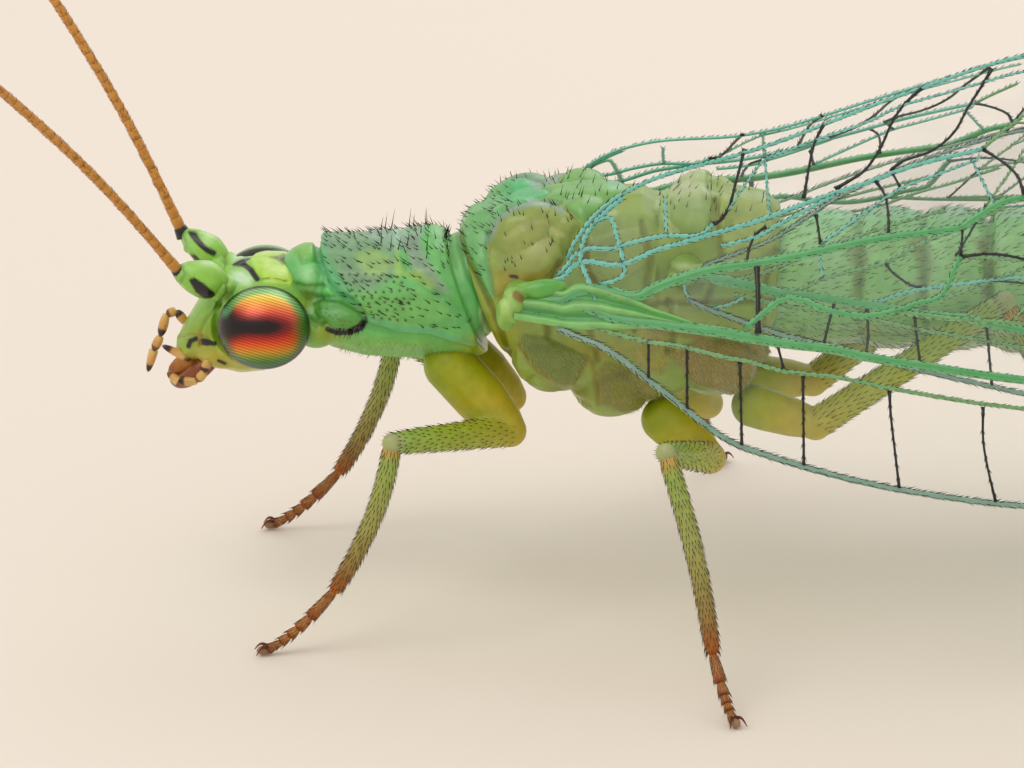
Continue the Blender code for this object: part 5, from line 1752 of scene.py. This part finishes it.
def build_veins(side, kind, veins):
    """All veins of a wing in one bundle, and the bristles that stand on them in another."""
    bundle, coat = Bundle(), Bundle()
    for radius, tone, line in veins:
        line = soft_line(line)
        path, outward = on_side(side, kind, line[:, 0], line[:, 1])
        core, pale = (np.array(linear(c)) for c in VEIN_TONES_WITH_PAINTED_SHADING[tone])
        sides = 6 if radius < 0.025 else 10
        if tone == "stem":
            size = radius / 0.05 * np.interp(line[:, 0], *zip(*STEM_WIDTH))
        else:
            size = radius * np.interp(line[:, 0], (0, 4, 15.7), (0.88, 0.75, 0.52))
        if tone == "dark":
            size = size * (0.9 + 0.5 * np.abs(np.linspace(-1, 1, len(path))) ** 5)
        points, faces = rod(path, size, sides, 0.6, outward)
        # Painted shading: each ring runs from the darker colour on the tube's faces to the paler
        # one on its flanks.
        rim = np.sin(2 * np.pi * np.arange(sides) / sides) ** 2 * 0.8
        ring = core + (pale - core) * rim[:, None]
        bundle.add(points, faces, np.vstack((np.tile(ring, (len(path), 1)), core, core)))
        spacing, length = {"edge": (0.036, 0.070), "dark": (0.10, 0.05)}.get(tone, (0.06, 0.045))
        vein_bristles(coat, line, path, outward, size, spacing, length)
    return bundle, coat


def sheet(side, kind, along, share, half, tint, lift=0.0):
    """A closed plate on the wing, from a grid of distances and shares with its half thickness."""
    rows, columns = along.shape
    half, lift = (np.broadcast_to(value, along.shape).ravel() for value in (half, lift))
    outer, _ = on_side(side, kind, along.ravel(), share.ravel(), lift + half)
    inner, _ = on_side(side, kind, along.ravel(), share.ravel(), lift - half)
    k = np.arange(rows - 1)[:, None] * columns + np.arange(columns - 1)
    a, b, c, d = (part.ravel() for part in (k, k + 1, k + columns + 1, k + columns))
    shift = rows * columns
    faces = [np.column_stack((a, b, c)), np.column_stack((a, c, d))]
    faces += [np.column_stack((a, c, b)) + shift, np.column_stack((a, d, c)) + shift]
    top = np.arange(columns)
    end = (rows - 1) * columns
    left = np.arange(rows) * columns
    rim = np.concatenate((top, left[1:] + columns - 1, (end + top)[::-1][1:], left[::-1][1:-1]))
    nxt = np.roll(rim, -1)
    faces += [
        np.column_stack((rim, rim + shift, nxt + shift)),
        np.column_stack((rim, nxt + shift, nxt)),
    ]
    bundle = Bundle()
    tint = np.broadcast_to(tint, (shift, 3))
    bundle.add(np.vstack((outer, inner)), np.vstack(faces), np.vstack((tint, tint)))
    return bundle


def membrane(side, kind, rows=150, columns=44):
    """The clear sheet between the veins. It is a few thousandths of a millimetre thick."""
    first, last = (0.42, 15.72) if kind == "fore" else (1.7, 14.68)
    along, share = np.meshgrid(
        np.linspace(first, last, rows), np.linspace(0.004, 0.992, columns), indexing="ij"
    )
    return sheet(side, kind, along, share, 0.004, linear("#bfe0d4"))


# %% [markdown]
# ## Wing bases
# Close to the body the veins run together into a leathery green wedge with long folds, and a
# lumpy hinge joins that wedge to the thorax. The hindwing's hinge lies further back, under the
# forewing. The hinges are lobes fused into one skin.

# %% Wing bases
BASE_LOW = ((0, 0.0), (0.4, 0.04), (0.7, 0.08), (1.0, 0.15), (1.4, 0.26), (1.9, 0.325))
BASE_HIGH = (
    (0, 1.0), (0.3, 0.80), (0.5, 0.60), (0.8, 0.44), (1.0, 0.385), (1.4, 0.345), (1.9, 0.345)
)
FOLDS = 2.4


def leathery_base(side, rows=60, columns=40):
    """The folded wedge from which a forewing's veins rise."""
    distance, across = np.linspace(0.02, 1.9, rows), np.linspace(0, 1, columns)
    low, high = (np.interp(distance, *zip(*table))[:, None] for table in (BASE_LOW, BASE_HIGH))
    share = low + (high - low) * across
    along = np.repeat(distance[:, None], columns, 1)
    wave = np.sin(2 * np.pi * FOLDS * across + 0.6)
    half = np.interp(distance, (0, 0.3, 1.9), (0.05, 0.036, 0.010))[:, None]
    half = half * (1 - (2 * across - 1) ** 4) + 0.004
    fade = ease((1.9 - distance) / 0.8)[:, None]
    core, pale = np.array(linear("#4f9c50")), np.array(linear("#86be74"))
    stripe = (ease(0.5 + 0.5 * wave) * (0.3 + 0.6 * fade)).reshape(-1, 1)
    colour = core + (pale - core) * stripe
    return sheet(side, "fore", along, share, half, colour, 0.020 * wave * fade)


fore_root = on_wing("fore", [0.30], [0.72])[0][0]
hind_root = on_wing("hind", [1.74], [0.9])[0][0]
hinges = eggs((
    ((1.30, 2.50, 3.54), (0.14, 0.14, 0.19), 0),
    ((1.22, 2.42, 3.40), (0.12, 0.10, 0.16), 0),
    ((0.95, 2.55, 3.50), (0.30, 0.16, 0.16), 0),
    (fore_root, (0.10, 0.26, 0.11), -8),
    (fore_root + (-0.04, -0.12, -0.05), (0.12, 0.18, 0.12), 0),
    (hind_root + (-0.11, 0.06, -0.02), (0.07, 0.26, 0.08), -10),
    (hind_root + (-0.11, 0.28, -0.02), (0.06, 0.20, 0.05), -6),
    (hind_root + (-0.34, -0.02, -0.06), (0.34, 0.18, 0.16), 0),
))
fuse(hinges[0], hinges[1:], 0.018, 5)
hinges[0].name = "wing_hinges"
press(hinges[0], strokes=(
    (-0.024, 3, (503, 298), (512, 311), (522, 326)), (0.020, 4, (498, 302), (504, 320)),
    (-0.020, 3, (518, 292), (530, 300), (540, 310)), (-0.02, 3, (664, 264), (682, 278), (700, 282)),
))
paint(
    hinges[0], "#86b650",
    washes=(("#c4e094", 0.7, (507, 304), (8, 12)), ("#56ac58", 0.8, (545, 286), (24, 16)),
            # The small pale #d4deb0 wash on the hind hinge is a painted glint.
            ("#8cab54", 0.95, (690, 272), (50, 30)), ("#d4deb0", 0.5, (682, 266), (12, 4))),
    strokes=(("#8a5630", 0.8, 2, 4, (516, 295), (521, 299)), ("#9c6c3c", 0.7, 2, 5, (690, 277))),
)
settle(hinges[0], green_shell, ())


# %% Wing finish
def film_material():
    """A clear film of wing: a little milky, glossy, with a thin-film shimmer."""
    material, tree, shader = new_material("clear_wing_film")
    space = add_node(tree, "ShaderNodeTexCoord").outputs["Object"]
    cloud = add_node(tree, "ShaderNodeTexNoise", [(space, "Vector")], Scale=grain(0.7), Detail=3.0)
    haze = add_node(
        tree, "ShaderNodeMapRange", [(cloud.outputs["Fac"], "Value")],
        From_Min=0.35, From_Max=0.7, To_Min=0.012, To_Max=0.05,
    )
    tree.links.new(haze.outputs["Result"], shader.inputs["Alpha"])
    shader.inputs["Base Color"].default_value = (*linear("#cfe9e0"), 1)
    shader.inputs["Roughness"].default_value = 0.18
    shader.inputs["Thin Film Thickness"].default_value = 380
    shader.inputs["Thin Film IOR"].default_value = 1.55
    ripple = add_node(tree, "ShaderNodeTexNoise", [(space, "Vector")], Scale=grain(0.4), Detail=2.0)
    bump = add_node(
        tree, "ShaderNodeBump", [(ripple.outputs["Fac"], "Height")],
        Strength=0.5, Distance=0.03 * MM,
    )
    tree.links.new(bump.outputs["Normal"], shader.inputs["Normal"])
    return material


film = film_material()
for side in SIDES:
    for kind, veins in (("fore", fore_veins), ("hind", hind_veins)):
        bundles = [membrane(side, kind), *build_veins(side, kind, veins)]
        if kind == "fore":
            bundles.append(leathery_base(side))
        if side == "right":
            bundles = [bundle.mirrored() for bundle in bundles]
        name = f"{kind}wing_{side}"
        settle(bundles[0].piece(f"{name}_film"), film, ())
        settle(bundles[1].piece(f"{name}_veins"), vein_shell, [name])
        settle(bundles[2].piece(f"{name}_bristles", False), bristle_shell, ())
        if kind == "fore":
            settle(bundles[3].piece(f"{name}_base"), green_shell, ())
